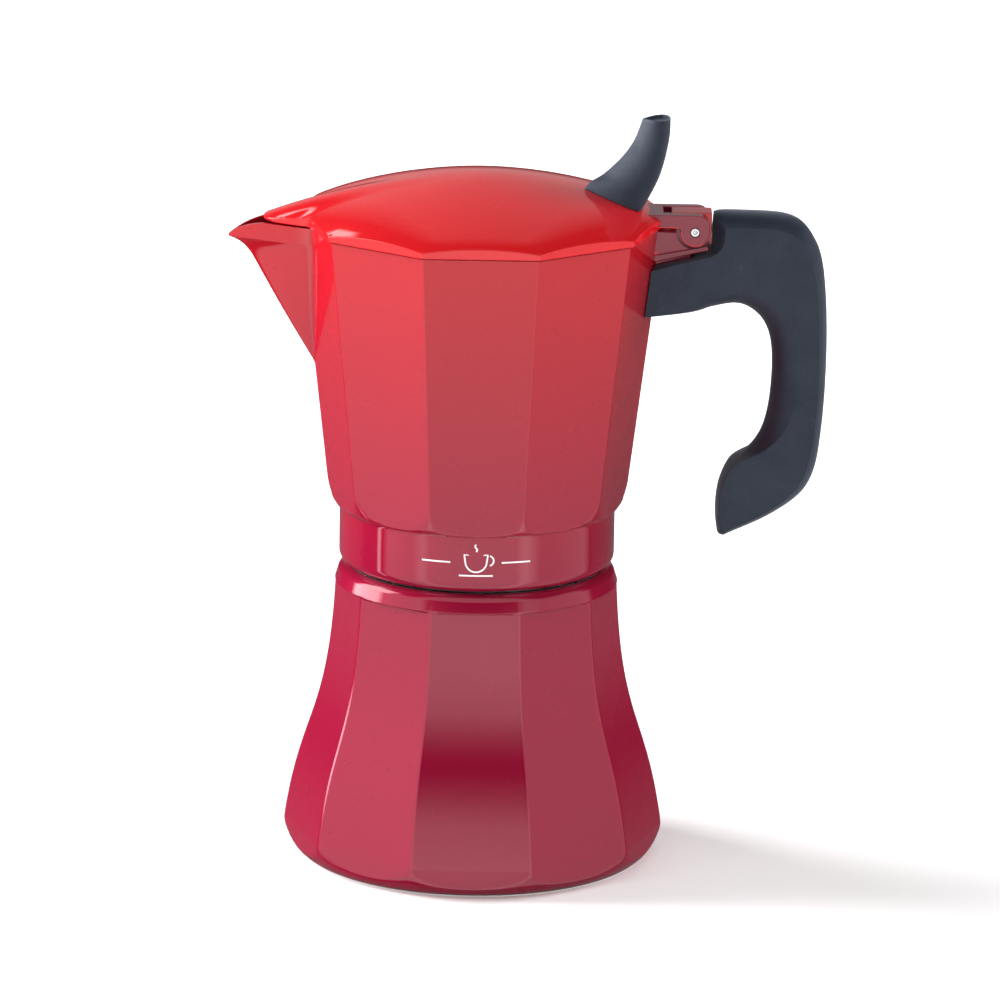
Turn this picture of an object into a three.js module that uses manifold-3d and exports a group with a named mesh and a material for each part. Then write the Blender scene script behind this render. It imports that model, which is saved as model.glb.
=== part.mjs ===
// Moka pot for six cups: a faceted aluminium stove-top coffee maker.
// Millimetres, +Z up. The origin is the centre of the base, on the pot's axis.
// +X points to the handle and the hinge, -X to the spout, and +Y to the safety valve.

import * as THREE from 'three';
import { mergeVertices } from 'three/addons/utils/BufferGeometryUtils.js';
import Module from 'manifold-3d';

const wasm = await Module();
wasm.setup();

// ---------- driving dimensions ----------

const GAP = 0.3; // clearance between pieces that touch
const REACH = 5; // how far a cutting tool runs past the face it cuts
const ROUND_SIDES = 30;
const SMALL_SIDES = 16;

// Both bodies are regular decagons, with a flat facing -Y and a corner on +X.
const FACETS = 10;
const FACET_ANGLE = (2 * Math.PI) / FACETS;
const FLAT_RATIO = Math.cos(FACET_ANGLE / 2); // distance to a flat over distance to a corner

// Boiler
const FOOT_RADIUS = 44;
const FOOT_ROUNDING = 8.5;
const BELLY_RADIUS = 52.2;
const WAIST_RADIUS = 38.75;
const SHOULDER_RADIUS = 38.7;
const SHOULDER_Z = 78.3;
const BOILER_WALL = 2.6;
const BOILER_FLOOR = 3.5;
const NECK_RADIUS = 32.5;
const NECK_BORE = 29.3;
const NECK_ROOT_Z = 81.4;
const NECK_TOP = 91.9;
const DISC_RADIUS = 39;
const DISC_THICKNESS = 1.5;

// Safety valve, on an axis parallel to Y
const VALVE_Z = 62;
const VALVE_INNER_Y = 32.5;
const VALVE_BOSS_Y = 33.5;
const VALVE_SEAT_Y = 39.6;
const VALVE_BOSS_RADIUS = 7.2;
const VALVE_SHANK_RADIUS = 4;
const VALVE_BORE = 2.9;
const VALVE_WASHER_RADIUS = 6.4;
const VALVE_WASHER_THICKNESS = 1;
const HEX_RADIUS = 6.3;
const HEX_HEIGHT = 4;
const HEX_Y = VALVE_SEAT_Y + VALVE_WASHER_THICKNESS + 2 * GAP;
const NOSE_RADIUS = 3.6;
const NOSE_Y = HEX_Y + HEX_HEIGHT + 2.5;
const SEAT_RING_BORE = 1.2;
const SEAT_RING_THICKNESS = 1.4;
const VALVE_PIN_RADIUS = 1.1;
const VALVE_PIN_END = NOSE_Y + 1.4;
const PIN_HEAD_Y = VALVE_INNER_Y + SEAT_RING_THICKNESS + 2 * GAP;
const PIN_HEAD_THICKNESS = 1;
const SPRING_SHOULDER_Y = HEX_Y + 2.3;

// Collector: the upper pot and the threaded collar under it
const COLLAR_RADIUS = 37.7;
const COLLAR_BOTTOM = 82.3;
const COLLAR_BORE = 33;
const POT_BOTTOM = 98.6;
const POT_FLOOR = 104;
const RIM_Z = 177.6;
const RIM_RADIUS = 49.75;
const POT_TAPER = 0.1187;
const POT_WALL = 2.4;
const PLATE_SEAT = 97.6;
const PLATE_SEAT_RADIUS = 30.5;
const PLATE_SEAT_DEPTH = 1.3;
const RISER_BORE = 4.5;
const RISER_FOOT_RADIUS = 7.5;
const RISER_TOP = 151;
const SPOUT_TIP = -68.8;
const SPOUT_ROOT_Z = 137.5;
const SPOUT_HALF_WIDTH = 12.4;
const SPOUT_WALL = 1.5;

// Sealing stack, from the neck upwards
const FLANGE_RADIUS = 31.9;
const FLANGE_THICKNESS = 0.9;
const FLANGE_Z = NECK_TOP + GAP;
const GASKET_BORE = 24.5;
const GASKET_RADIUS = 32.6;
const GASKET_THICKNESS = 2.7;
const GASKET_Z = FLANGE_Z + FLANGE_THICKNESS + GAP;
const PLATE_RADIUS = 30.1;
const PLATE_THICKNESS = 0.9;
const PLATE_Z = GASKET_Z + GASKET_THICKNESS + GAP;
const FUNNEL_WALL = 0.9;
const BASKET_RADIUS = 28.2;
const BASKET_FLOOR = 74;
const BASKET_LEDGE = 2.8;
const STEM_RADIUS = 4.6;
const STEM_TOP = 57;
const STEM_BOTTOM = 9;
const HOLE_RINGS = [[0, 1], [7, 6], [14, 10], [21, 14]]; // ring radius, number of holes

// Lid and its hinge
const LID_BOTTOM = 177.9;
const LID_RADIUS = 50.9;
const LID_APEX = 190.9;
const LID_EDGE_Z = 179.65;
const DOME_RADIUS = LID_RADIUS + 0.1;
const LID_WALL = 2;
const LID_RECESS = 0.6; // extra wall thickness at the lid's edge
const BRIDGE_START = 43;
const BRIDGE_END = 49.4;
const PIN_X = 57.9;
const PIN_Z = 177.2;
const PIN_RADIUS = 1.15;
const PIN_HOLE = 1.4;
const EAR_OUTER = 7.5;
const EAR_INNER = 4.2;
const EAR_TOP = 181.9;
const EAR_RADIUS = 4;
const EAR_CLEARANCE = 1.1;

// Hinge bracket behind the pot's corner, with the lug that holds the handle
const BRACKET_START = 45.75;
const BRACKET_END = 61.9;
const BRACKET_HALF_WIDTH = 6;
const TONGUE_START = 51.4;
const TONGUE_END = 62.5;
const TONGUE_HALF_WIDTH = 3.9;
const LUG_START = 43.75;
const LUG_END = 57;
const LUG_HALF_WIDTH = 3.5;
const LUG_BOTTOM = 163.5;
const LUG_TOP = 171.5;

// Handle and its screw
const HANDLE_TOP = 181.9;
const HANDLE_HALF_WIDTH = 7.6;
const HANDLE_BEVEL = 1.6;
const HANDLE_SCREW_X = 52;
const HANDLE_SCREW_RADIUS = 2;
const HANDLE_SCREW_BOTTOM = 155.2;
const HANDLE_SCREW_TOP = 169.4;
const SCREW_HEAD_RADIUS = 3.9;
const SCREW_HEAD_HEIGHT = 2.2;
const COUNTERBORE_RADIUS = 4.5;
const COUNTERBORE_TOP = 158.5;

// Knob and its fixings. It stands on the dome's slope, so they follow the slope's normal,
// and their heights are measured along that tilted axis from the dome's face.
const KNOB_X = 41;
const KNOB_Z = 183.6;
const KNOB_TILT = 0.3;
const INSERT_BORE = 2;
const INSERT_RADIUS = 2.6;
const INSERT_BOTTOM = 1.4;
const INSERT_TOP = 9;
const KNOB_SCREW_RADIUS = 1.7;
const KNOB_SCREW_BOTTOM = -4.9;
const KNOB_SCREW_TOP = 8.5;
const KNOB_SCREW_HOLE = 2.1;

// ---------- materials ----------

const coat = (name, color, roughness, metalness) =>
  new THREE.MeshStandardMaterial({ name, color, roughness, metalness });
const redLacquer = () => coat('red_lacquer', 0xb5142e, 0.2, 0.3);
const bareAluminium = () => coat('bare_aluminium', 0xb9bbbd, 0.45, 1);
const blackPlastic = () => coat('black_plastic', 0x2c3238, 0.65, 0);
const steel = () => coat('steel', 0xa7a9ab, 0.35, 1);
const brass = () => coat('brass', 0xb08d4a, 0.35, 1);
const silicone = () => coat('silicone', 0xe4e0d6, 0.6, 0);

// ---------- solids ----------

function signedVolume(points, triangles) {
  const corner = (index) => new THREE.Vector3().fromArray(points, 3 * index);
  let volume = 0;
  for (let i = 0; i < triangles.length; i += 3) {
    const [a, b, c] = [0, 1, 2].map((step) => corner(triangles[i + step]));
    volume += a.dot(b.cross(c)) / 6;
  }
  return volume;
}

// A closed solid from a three.js geometry whose skin may be split along its seams.
function solidOf(geometry) {
  geometry.deleteAttribute('normal');
  geometry.deleteAttribute('uv');
  const merged = mergeVertices(geometry, 1e-4);
  const points = merged.attributes.position.array;
  const triangles = [];
  for (let i = 0; i < merged.index.count; i += 3) {
    const [a, b, c] = [0, 1, 2].map((step) => merged.index.getX(i + step));
    if (a !== b && b !== c && c !== a) triangles.push(a, b, c);
  }
  if (signedVolume(points, triangles) < 0) triangles.reverse();
  const mesh = new wasm.Mesh({
    numProp: 3,
    vertProperties: new Float32Array(points),
    triVerts: new Uint32Array(triangles),
  });
  return new wasm.Manifold(mesh);
}

function geometryOf(solid) {
  const mesh = solid.getMesh();
  const geometry = new THREE.BufferGeometry();
  geometry.setAttribute('position', new THREE.BufferAttribute(mesh.vertProperties, 3));
  geometry.setIndex(new THREE.BufferAttribute(mesh.triVerts, 1));
  geometry.computeVertexNormals();
  return geometry;
}

const union = (...solids) => solids.reduce((whole, next) => whole.add(next));
const cut = (solid, ...tools) => tools.reduce((left, tool) => left.subtract(tool), solid);

// Solid of revolution about Z from [radius, z] pairs. A ring's outline closes on itself.
function revolve(outline, sides = ROUND_SIDES) {
  const points = outline.map(([radius, z]) => new THREE.Vector2(radius, z));
  return solidOf(new THREE.LatheGeometry(points, sides).rotateX(Math.PI / 2));
}

const ring = (outline, sides) => revolve([...outline, outline[0]], sides);

function rod(radius, bottom, top, sides = SMALL_SIDES) {
  return revolve([[0, bottom], [radius, bottom], [radius, top], [0, top]], sides);
}

function box(low, high) {
  const size = high.map((value, axis) => value - low[axis]);
  const geometry = new THREE.BoxGeometry(...size);
  geometry.translate(...low.map((value, axis) => value + size[axis] / 2));
  return solidOf(geometry);
}

// A flat XZ outline with its thickness along Y, centred on middleY.
function slab(shape, thickness, middleY = 0, bevel = 0) {
  const geometry = new THREE.ExtrudeGeometry(shape, {
    depth: thickness - 2 * bevel,
    bevelEnabled: bevel > 0,
    bevelThickness: bevel,
    bevelSize: bevel,
    bevelOffset: -bevel,
    bevelSegments: 1,
    curveSegments: 6,
  });
  geometry.translate(0, 0, bevel - thickness / 2 - middleY);
  return solidOf(geometry.rotateX(Math.PI / 2));
}

const polygon = (points) => new THREE.Shape(points.map(([x, z]) => new THREE.Vector2(x, z)));

// Skin through closed rings of equal length, with a flat cap on each end.
function loft(rings) {
  const sides = rings[0].length;
  const centre = (points) =>
    points.reduce((sum, point) => sum.add(point), new THREE.Vector3()).divideScalar(sides);
  const points = [...rings.flat(), centre(rings[0]), centre(rings.at(-1))];
  const [firstCap, lastCap] = [points.length - 2, points.length - 1];
  const triangles = [];
  for (let side = 0; side < sides; side += 1) {
    const next = (side + 1) % sides;
    triangles.push(firstCap, next, side);
    const top = (rings.length - 1) * sides;
    triangles.push(lastCap, top + side, top + next);
    for (let level = 0; level < top; level += sides) {
      const [a, b] = [level + side, level + next];
      triangles.push(a, b, b + sides, a, b + sides, a + sides);
    }
  }
  const geometry = new THREE.BufferGeometry().setFromPoints(points);
  geometry.setIndex(triangles);
  return solidOf(geometry);
}

// A horizontal section of a turned body with flats cut on it. It is round wherever
// the turned radius is smaller than the decagon with that corner radius.
function facetedRing(z, turnedRadius, cornerRadius, sides = ROUND_SIDES) {
  return Array.from({ length: sides }, (_, side) => {
    const angle = (side * 2 * Math.PI) / sides;
    const fromFlat = (angle % FACET_ANGLE) - FACET_ANGLE / 2;
    const flatted = (cornerRadius * FLAT_RATIO) / Math.cos(fromFlat);
    const radius = Math.min(turnedRadius, flatted);
    return new THREE.Vector3(radius * Math.cos(angle), radius * Math.sin(angle), z);
  });
}

function tilted(solid, angle, x, z) {
  const geometry = geometryOf(solid);
  geometry.rotateY(angle);
  geometry.translate(x, 0, z);
  return solidOf(geometry);
}

// Turns a solid made along Z so that it lies along +Y at height z.
function alongY(solid, x, z) {
  const geometry = geometryOf(solid);
  geometry.rotateX(-Math.PI / 2);
  geometry.translate(x, 0, z);
  return solidOf(geometry);
}

const pinTool = (radius, halfLength) => alongY(rod(radius, -halfLength, halfLength), PIN_X, PIN_Z);

// ---------- boiler ----------

// Corner radius against height: one S-shaped curve from the belly up to the waist.
const flank = new THREE.CubicBezierCurve(
  new THREE.Vector2(BELLY_RADIUS, FOOT_ROUNDING),
  new THREE.Vector2(47.8, 40),
  new THREE.Vector2(40.6, 36.7),
  new THREE.Vector2(WAIST_RADIUS, SHOULDER_Z - 2.5),
);

function footLevels() {
  const steps = 4;
  return Array.from({ length: steps }, (_, step) => {
    const turn = ((step / steps) * Math.PI) / 2;
    const radius = FOOT_RADIUS + (BELLY_RADIUS - FOOT_RADIUS) * Math.sin(turn);
    return facetedRing(FOOT_ROUNDING * (1 - Math.cos(turn)), radius, BELLY_RADIUS);
  });
}

function boilerOutside() {
  const flankLevels = flank
    .getPoints(8)
    .map(({ x, y }) => facetedRing(y, x, x));
  const turned = [
    [SHOULDER_RADIUS, SHOULDER_Z],
    [SHOULDER_RADIUS - 0.5, SHOULDER_Z + 1.4],
    [SHOULDER_RADIUS - 1.5, SHOULDER_Z + 2.2],
    [NECK_RADIUS + 2, NECK_ROOT_Z],
    [NECK_RADIUS, NECK_ROOT_Z],
    [NECK_RADIUS, NECK_TOP],
  ];
  const turnedLevels = turned.map(([radius, z]) => facetedRing(z, radius, radius / FLAT_RATIO));
  return loft([...footLevels(), ...flankLevels, ...turnedLevels]);
}

function boilerInside() {
  const wallLine = [0, 0.2, 0.4, 0.6, 0.8, 1]
    .map((share) => flank.getPoint(share))
    .map(({ x, y }) => [x * FLAT_RATIO - BOILER_WALL, y]);
  return revolve([
    [0, BOILER_FLOOR],
    [FOOT_RADIUS - BOILER_WALL, BOILER_FLOOR],
    ...wallLine,
    [NECK_BORE, NECK_ROOT_Z - BOILER_WALL],
    [NECK_BORE, NECK_TOP + REACH],
    [0, NECK_TOP + REACH],
  ]);
}

function boiler() {
  const boss = alongY(rod(VALVE_BOSS_RADIUS, VALVE_BOSS_Y, VALVE_SEAT_Y, 24), 0, VALVE_Z);
  const discRecess = rod(DISC_RADIUS + GAP, -REACH, DISC_THICKNESS + GAP, ROUND_SIDES);
  const bossBore = rod(VALVE_SHANK_RADIUS + GAP, VALVE_BOSS_Y - 3 * REACH, VALVE_SEAT_Y + REACH);
  const valveHole = alongY(bossBore, 0, VALVE_Z);
  return cut(union(cut(boilerOutside(), boilerInside()), boss), discRecess, valveHole);
}

const inductionDisc = () => rod(DISC_RADIUS, 0, DISC_THICKNESS, ROUND_SIDES);

// ---------- safety valve ----------

function valveBody() {
  const shank = rod(VALVE_SHANK_RADIUS, VALVE_INNER_Y, HEX_Y + 1);
  const hex = rod(HEX_RADIUS, HEX_Y, HEX_Y + HEX_HEIGHT, 6);
  const nose = rod(NOSE_RADIUS, HEX_Y + 1, NOSE_Y);
  const springBore = rod(VALVE_BORE, VALVE_INNER_Y - REACH, SPRING_SHOULDER_Y);
  const stemBore = rod(VALVE_PIN_RADIUS + GAP, VALVE_INNER_Y, NOSE_Y + REACH);
  return alongY(cut(union(shank, hex, nose), springBore, stemBore), 0, VALVE_Z);
}

function valveGasket() {
  const low = VALVE_SEAT_Y + GAP;
  const inner = VALVE_SHANK_RADIUS + GAP;
  const outer = VALVE_WASHER_RADIUS;
  const high = low + VALVE_WASHER_THICKNESS;
  return alongY(ring([[inner, low], [outer, low], [outer, high], [inner, high]], 24), 0, VALVE_Z);
}

function valveSeat() {
  const low = VALVE_INNER_Y + GAP;
  const high = low + SEAT_RING_THICKNESS - GAP;
  const outer = VALVE_BORE - GAP;
  const inner = SEAT_RING_BORE;
  const outline = [[inner, low], [outer, low], [outer, high], [inner, high]];
  return alongY(ring(outline, SMALL_SIDES), 0, VALVE_Z);
}

function valvePin() {
  const head = rod(VALVE_BORE - GAP - 0.2, PIN_HEAD_Y, PIN_HEAD_Y + PIN_HEAD_THICKNESS);
  const stem = rod(VALVE_PIN_RADIUS, PIN_HEAD_Y, VALVE_PIN_END);
  return alongY(union(head, stem), 0, VALVE_Z);
}

function valveSpring() {
  const turns = 5;
  const wireRadius = 0.3;
  const coilRadius = 1.95;
  const start = PIN_HEAD_Y + PIN_HEAD_THICKNESS + GAP + wireRadius;
  const length = SPRING_SHOULDER_Y - GAP - wireRadius - start;
  const helix = new THREE.Curve();
  helix.getPoint = (share, target = new THREE.Vector3()) => {
    const angle = share * turns * 2 * Math.PI;
    return target.set(coilRadius * Math.cos(angle), coilRadius * Math.sin(angle), start + share * length);
  };
  const wire = new THREE.Shape().absarc(0, 0, wireRadius, 0, 2 * Math.PI);
  const geometry = new THREE.ExtrudeGeometry(wire, {
    extrudePath: helix,
    steps: turns * 10,
    curveSegments: 3,
    bevelEnabled: false,
  });
  return alongY(solidOf(geometry), 0, VALVE_Z);
}

// ---------- funnel and seals ----------

function funnel() {
  const inside = BASKET_RADIUS - FUNNEL_WALL;
  const flangeTop = FLANGE_Z + FLANGE_THICKNESS;
  return ring([
    [FLANGE_RADIUS, flangeTop],
    [FLANGE_RADIUS, FLANGE_Z],
    [BASKET_RADIUS, FLANGE_Z],
    [BASKET_RADIUS, BASKET_FLOOR - 1],
    [STEM_RADIUS, STEM_TOP],
    [STEM_RADIUS, STEM_BOTTOM],
    [STEM_RADIUS - FUNNEL_WALL, STEM_BOTTOM],
    [STEM_RADIUS - FUNNEL_WALL, STEM_TOP],
    [inside - BASKET_LEDGE, BASKET_FLOOR - 2],
    [inside - BASKET_LEDGE, BASKET_FLOOR],
    [inside, BASKET_FLOOR],
    [inside, flangeTop],
  ]);
}

// A round sheet with rings of drilled holes.
function perforated(sheet, holeRadius) {
  const holes = HOLE_RINGS.flatMap(([radius, count]) =>
    Array.from({ length: count }, (_, step) => {
      const angle = (step * 2 * Math.PI) / count;
      const hole = new THREE.CylinderGeometry(holeRadius, holeRadius, 8 * REACH, 6);
      hole.rotateX(Math.PI / 2);
      hole.translate(radius * Math.cos(angle), radius * Math.sin(angle), PLATE_Z - 2 * REACH);
      return solidOf(hole);
    }));
  return cut(sheet, ...holes);
}

function funnelPlate() {
  const low = BASKET_FLOOR + GAP;
  const sheet = rod(BASKET_RADIUS - FUNNEL_WALL - GAP, low, low + 0.8, ROUND_SIDES);
  return perforated(sheet, 1);
}

function filterPlate() {
  const sheet = rod(PLATE_RADIUS, PLATE_Z, PLATE_Z + PLATE_THICKNESS, ROUND_SIDES);
  return perforated(sheet, 0.9);
}

function gasket() {
  const top = GASKET_Z + GASKET_THICKNESS;
  return ring([
    [GASKET_BORE, GASKET_Z],
    [GASKET_RADIUS, GASKET_Z],
    [GASKET_RADIUS, top],
    [GASKET_BORE, top],
  ]);
}

// ---------- collector ----------

const cornerRadiusAt = (z) => RIM_RADIUS - POT_TAPER * (RIM_Z - z);

// The tapered faceted pot above the collar, grown outwards by a clearance.
function potOutside(clearance = 0) {
  const grow = clearance / FLAT_RATIO;
  const rounding = [[0, 37.8], [0.4, 38.6], [1.7, 39.7], [3.8, 40.4], [6.4, 41]];
  const lower = rounding.map(([rise, radius]) => {
    const z = POT_BOTTOM + rise;
    return facetedRing(z, radius + clearance, cornerRadiusAt(z) + grow);
  });
  const rimCorner = cornerRadiusAt(RIM_Z) + grow;
  return loft([...lower, facetedRing(RIM_Z + clearance, rimCorner, rimCorner)]);
}

// The spout narrows downwards to nothing on the keel line. A lip flares out near its tip.
function spoutLoft(inset) {
  const keel = [
    [SPOUT_ROOT_Z, -44.8],
    [168.5, -62.9],
    [170.3, -64.6],
    [171.7, -67],
    [172.7, SPOUT_TIP],
    [RIM_Z + inset, SPOUT_TIP],
  ];
  const rootX = -40;
  const shares = [0, 0.06, 0.3, 0.65, 1];
  const rings = keel.map(([z, keelX]) => {
    const rise = (z - SPOUT_ROOT_Z) / (RIM_Z - SPOUT_ROOT_Z);
    const rootWidth = Math.max(SPOUT_HALF_WIDTH * rise - inset, 0.2);
    const noseX = keelX + 1.5 * inset;
    const facetX = -cornerRadiusAt(z) + SPOUT_HALF_WIDTH * rise * Math.tan(FACET_ANGLE / 2);
    const side = shares.map((share) => [
      THREE.MathUtils.lerp(noseX, facetX, share),
      rootWidth * share ** 0.85,
    ]);
    const half = [...side, [rootX, rootWidth]];
    const mirrored = half.slice(1).reverse().map(([x, y]) => [x, -y]);
    return [...half, ...mirrored].map(([x, y]) => new THREE.Vector3(x, y, z));
  });
  return loft(rings);
}

// What lies above the curved lip of the spout.
function aboveLip() {
  const shape = new THREE.Shape();
  shape.moveTo(-56, RIM_Z + REACH);
  shape.lineTo(-56, RIM_Z + 0.1);
  shape.quadraticCurveTo(-64.5, RIM_Z + 0.4, SPOUT_TIP - 0.4, 172.9);
  shape.lineTo(SPOUT_TIP - REACH, 172.9);
  shape.lineTo(SPOUT_TIP - REACH, RIM_Z + REACH);
  return slab(shape, 4 * SPOUT_HALF_WIDTH);
}

function collar() {
  return ring([
    [COLLAR_RADIUS, POT_BOTTOM + 3],
    [20, POT_BOTTOM + 3],
    [20, PLATE_SEAT - 2],
    [COLLAR_BORE, COLLAR_BOTTOM + REACH],
    [COLLAR_BORE, COLLAR_BOTTOM],
    [COLLAR_RADIUS - 1.3, COLLAR_BOTTOM],
    [COLLAR_RADIUS, COLLAR_BOTTOM + 2.5],
  ]);
}

// Bores under the pot's floor: the threaded skirt, the filter plate's seat and the dome
// that leads the coffee to the riser.
function collarBores() {
  return revolve([
    [0, COLLAR_BOTTOM - REACH],
    [COLLAR_BORE, COLLAR_BOTTOM - REACH],
    [COLLAR_BORE, PLATE_SEAT - PLATE_SEAT_DEPTH],
    [PLATE_SEAT_RADIUS, PLATE_SEAT - PLATE_SEAT_DEPTH],
    [PLATE_SEAT_RADIUS, PLATE_SEAT],
    [26, PLATE_SEAT],
    [RISER_BORE, PLATE_SEAT + 3.2],
    [RISER_BORE, POT_FLOOR + REACH],
    [0, POT_FLOOR + REACH],
  ]);
}

function potInside() {
  const levels = [POT_FLOOR, RIM_Z + REACH];
  return loft(levels.map((z) => {
    const corner = cornerRadiusAt(z) - POT_WALL / FLAT_RATIO;
    return facetedRing(z, corner, corner, FACETS);
  }));
}

// The hinge bracket with its tongue, and the lug under it.
function bracket(clearance = 0) {
  const top = RIM_Z - 0.1;
  const end = BRACKET_END + clearance;
  const tongueEnd = TONGUE_END + clearance;
  const side = polygon([
    [BRACKET_START, top],
    [end, top],
    [end, 172.6 - clearance],
    [BRACKET_START, 169.8 - clearance],
  ]);
  const tongue = polygon([
    [TONGUE_START, EAR_TOP],
    [tongueEnd, EAR_TOP],
    [tongueEnd, 173 - clearance],
    [BRACKET_START, 170],
    [BRACKET_START, top],
    [TONGUE_START, top],
  ]);
  const lugSide = LUG_HALF_WIDTH + clearance;
  const lugLow = [LUG_START, -lugSide, LUG_BOTTOM - clearance];
  const lug = box(lugLow, [LUG_END + clearance, lugSide, LUG_TOP]);
  const block = slab(side, 2 * (BRACKET_HALF_WIDTH + clearance));
  return union(block, slab(tongue, 2 * (TONGUE_HALF_WIDTH + clearance)), lug);
}

function earPockets() {
  const depth = EAR_OUTER - TONGUE_HALF_WIDTH + REACH;
  return [-1, 1].map((side) => {
    const inner = side * TONGUE_HALF_WIDTH;
    const [low, high] = [inner, inner + side * depth].sort((a, b) => a - b);
    return alongY(rod(EAR_RADIUS + EAR_CLEARANCE, low, high, 24), PIN_X, PIN_Z);
  });
}

function collector() {
  const potBody = union(potOutside(), cut(spoutLoft(0), aboveLip()), bracket(), collar());
  const screwHole = rod(HANDLE_SCREW_RADIUS + GAP, LUG_BOTTOM - REACH, HANDLE_SCREW_TOP + 0.8);
  return cut(
    potBody,
    potInside(),
    spoutLoft(SPOUT_WALL),
    collarBores(),
    ...earPockets(),
    pinTool(PIN_HOLE, 2 * EAR_OUTER),
    screwHole.translate([HANDLE_SCREW_X, 0, 0]),
  );
}

function riserColumn() {
  const bore = 2.4;
  const plugRadius = RISER_BORE - GAP;
  const plugBottom = PLATE_SEAT + 4.5;
  const boreTop = RISER_TOP - 4;
  const tube = revolve([
    [0, RISER_TOP],
    [2.6, RISER_TOP - 0.6],
    [4.1, RISER_TOP - 2.6],
    [5.2, POT_FLOOR + 6],
    [RISER_FOOT_RADIUS, POT_FLOOR + 2],
    [RISER_FOOT_RADIUS, POT_FLOOR + GAP],
    [plugRadius, POT_FLOOR + GAP],
    [plugRadius, plugBottom],
    [bore, plugBottom],
    [bore, boreTop],
    [0, boreTop],
  ], 24);
  const portHeight = 4;
  const portTop = boreTop - 0.5;
  const ports = box([-2, -REACH, portTop - portHeight], [2, REACH, portTop]);
  return cut(tube, ports);
}

// ---------- lid ----------

// Dome height against radius, from the crown out to the corners of the lid.
const dome = new THREE.CubicBezierCurve(
  new THREE.Vector2(0, LID_APEX),
  new THREE.Vector2(16, LID_APEX),
  new THREE.Vector2(41.6, 184.7),
  new THREE.Vector2(DOME_RADIUS, LID_EDGE_Z),
);

function domeSolid(drop) {
  const skin = dome.getPoints(9).map(({ x, y }) => [x, y - drop]);
  const base = LID_BOTTOM - 2 * REACH;
  return revolve([...skin, [DOME_RADIUS, base], [0, base]]);
}

function lidPrism(inset, bottom) {
  const corner = LID_RADIUS - inset / FLAT_RATIO;
  return loft([bottom, LID_APEX].map((z) => facetedRing(z, corner, corner, FACETS)));
}

// The beak covers the spout: a rounded plan outline under a sloping arched ridge.
function beak() {
  const plan = new THREE.Shape();
  plan.moveTo(-40, -11.6);
  plan.lineTo(-47, -11.6);
  plan.lineTo(-57.5, -6);
  plan.quadraticCurveTo(-60.6, 0, -57.5, 6);
  plan.lineTo(-47, 11.6);
  plan.lineTo(-40, 11.6);
  const column = new THREE.ExtrudeGeometry(plan, { depth: 8, bevelEnabled: false, curveSegments: 6 });
  column.translate(0, 0, LID_BOTTOM);
  const archRadius = 22;
  const arch = new THREE.CylinderGeometry(archRadius, archRadius, 40, 40);
  arch.rotateZ(Math.PI / 2);
  arch.rotateY(-0.26);
  arch.translate(-50, 0, 182.3 - archRadius);
  return solidOf(column).intersect(solidOf(arch));
}

function lidEars() {
  const shape = new THREE.Shape();
  shape.moveTo(BRIDGE_START, LID_BOTTOM);
  shape.lineTo(PIN_X - 3.9, LID_BOTTOM);
  shape.absarc(PIN_X, PIN_Z, EAR_RADIUS, 0.945 * Math.PI, 2 * Math.PI);
  shape.quadraticCurveTo(PIN_X + EAR_RADIUS, EAR_TOP, PIN_X - 0.5, EAR_TOP);
  shape.lineTo(BRIDGE_START, EAR_TOP);
  const bridge = box([BRIDGE_START, -EAR_OUTER, LID_BOTTOM], [BRIDGE_END, EAR_OUTER, EAR_TOP]);
  const middle = (EAR_OUTER + EAR_INNER) / 2;
  const ears = [-middle, middle].map((y) => slab(shape, EAR_OUTER - EAR_INNER, y));
  return union(bridge, ...ears);
}

const onKnobAxis = (solid) => tilted(solid, KNOB_TILT, KNOB_X, KNOB_Z);

function lid() {
  const shell = cut(domeSolid(0).intersect(lidPrism(0, LID_BOTTOM)), lidHollow());
  const slotHigh = [PIN_X + 2 * REACH, EAR_INNER, EAR_TOP + REACH];
  const slot = box([BRIDGE_END, -EAR_INNER, LID_BOTTOM - REACH], slotHigh);
  const ears = cut(lidEars(), lidHollow());
  const whole = union(shell, cut(beak(), lidHollow()), ears);
  const screwHole = onKnobAxis(rod(KNOB_SCREW_HOLE, -2 * REACH, 2 * REACH));
  return cut(whole, slot, pinTool(PIN_HOLE, 2 * EAR_OUTER), screwHole);
}

function lidHollow() {
  return domeSolid(LID_WALL).intersect(lidPrism(LID_WALL + LID_RECESS, LID_BOTTOM - REACH));
}

// ---------- knob ----------

function knob() {
  // Each level: height, front edge X, back edge X, half-width.
  const levels = [
    [180, 24, 44, 8.6],
    [188.3, 28.3, 46.9, 8],
    [194, 35.6, 48.9, 6.8],
    [199.5, 40, 50.1, 5.9],
    [204.5, 42.3, 50.6, 5.2],
    [207.8, 44.8, 50, 4.2],
    [208.9, 46.6, 48.8, 1.6],
  ];
  const rings = levels.map(([z, front, back, halfWidth]) => {
    const waist = THREE.MathUtils.lerp(front, back, 0.5);
    const shoulder = THREE.MathUtils.lerp(front, back, 0.86);
    const half = [[back, 0], [shoulder, halfWidth], [waist, 0.6 * halfWidth], [front, 0]];
    const other = [[waist, -0.6 * halfWidth], [shoulder, -halfWidth]];
    return [...half, ...other].map(([x, y]) => new THREE.Vector3(x, y, z));
  });
  const insertHole = onKnobAxis(rod(INSERT_RADIUS + GAP, -REACH, INSERT_TOP + 0.5));
  const blank = cut(loft(rings), domeSolid(-GAP), lidEars().translate([0, 0, GAP]));
  return cut(blank, insertHole);
}

function knobInsert() {
  return onKnobAxis(ring([
    [INSERT_BORE, INSERT_BOTTOM],
    [INSERT_RADIUS, INSERT_BOTTOM],
    [INSERT_RADIUS, INSERT_TOP],
    [INSERT_BORE, INSERT_TOP],
  ], SMALL_SIDES));
}

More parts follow.
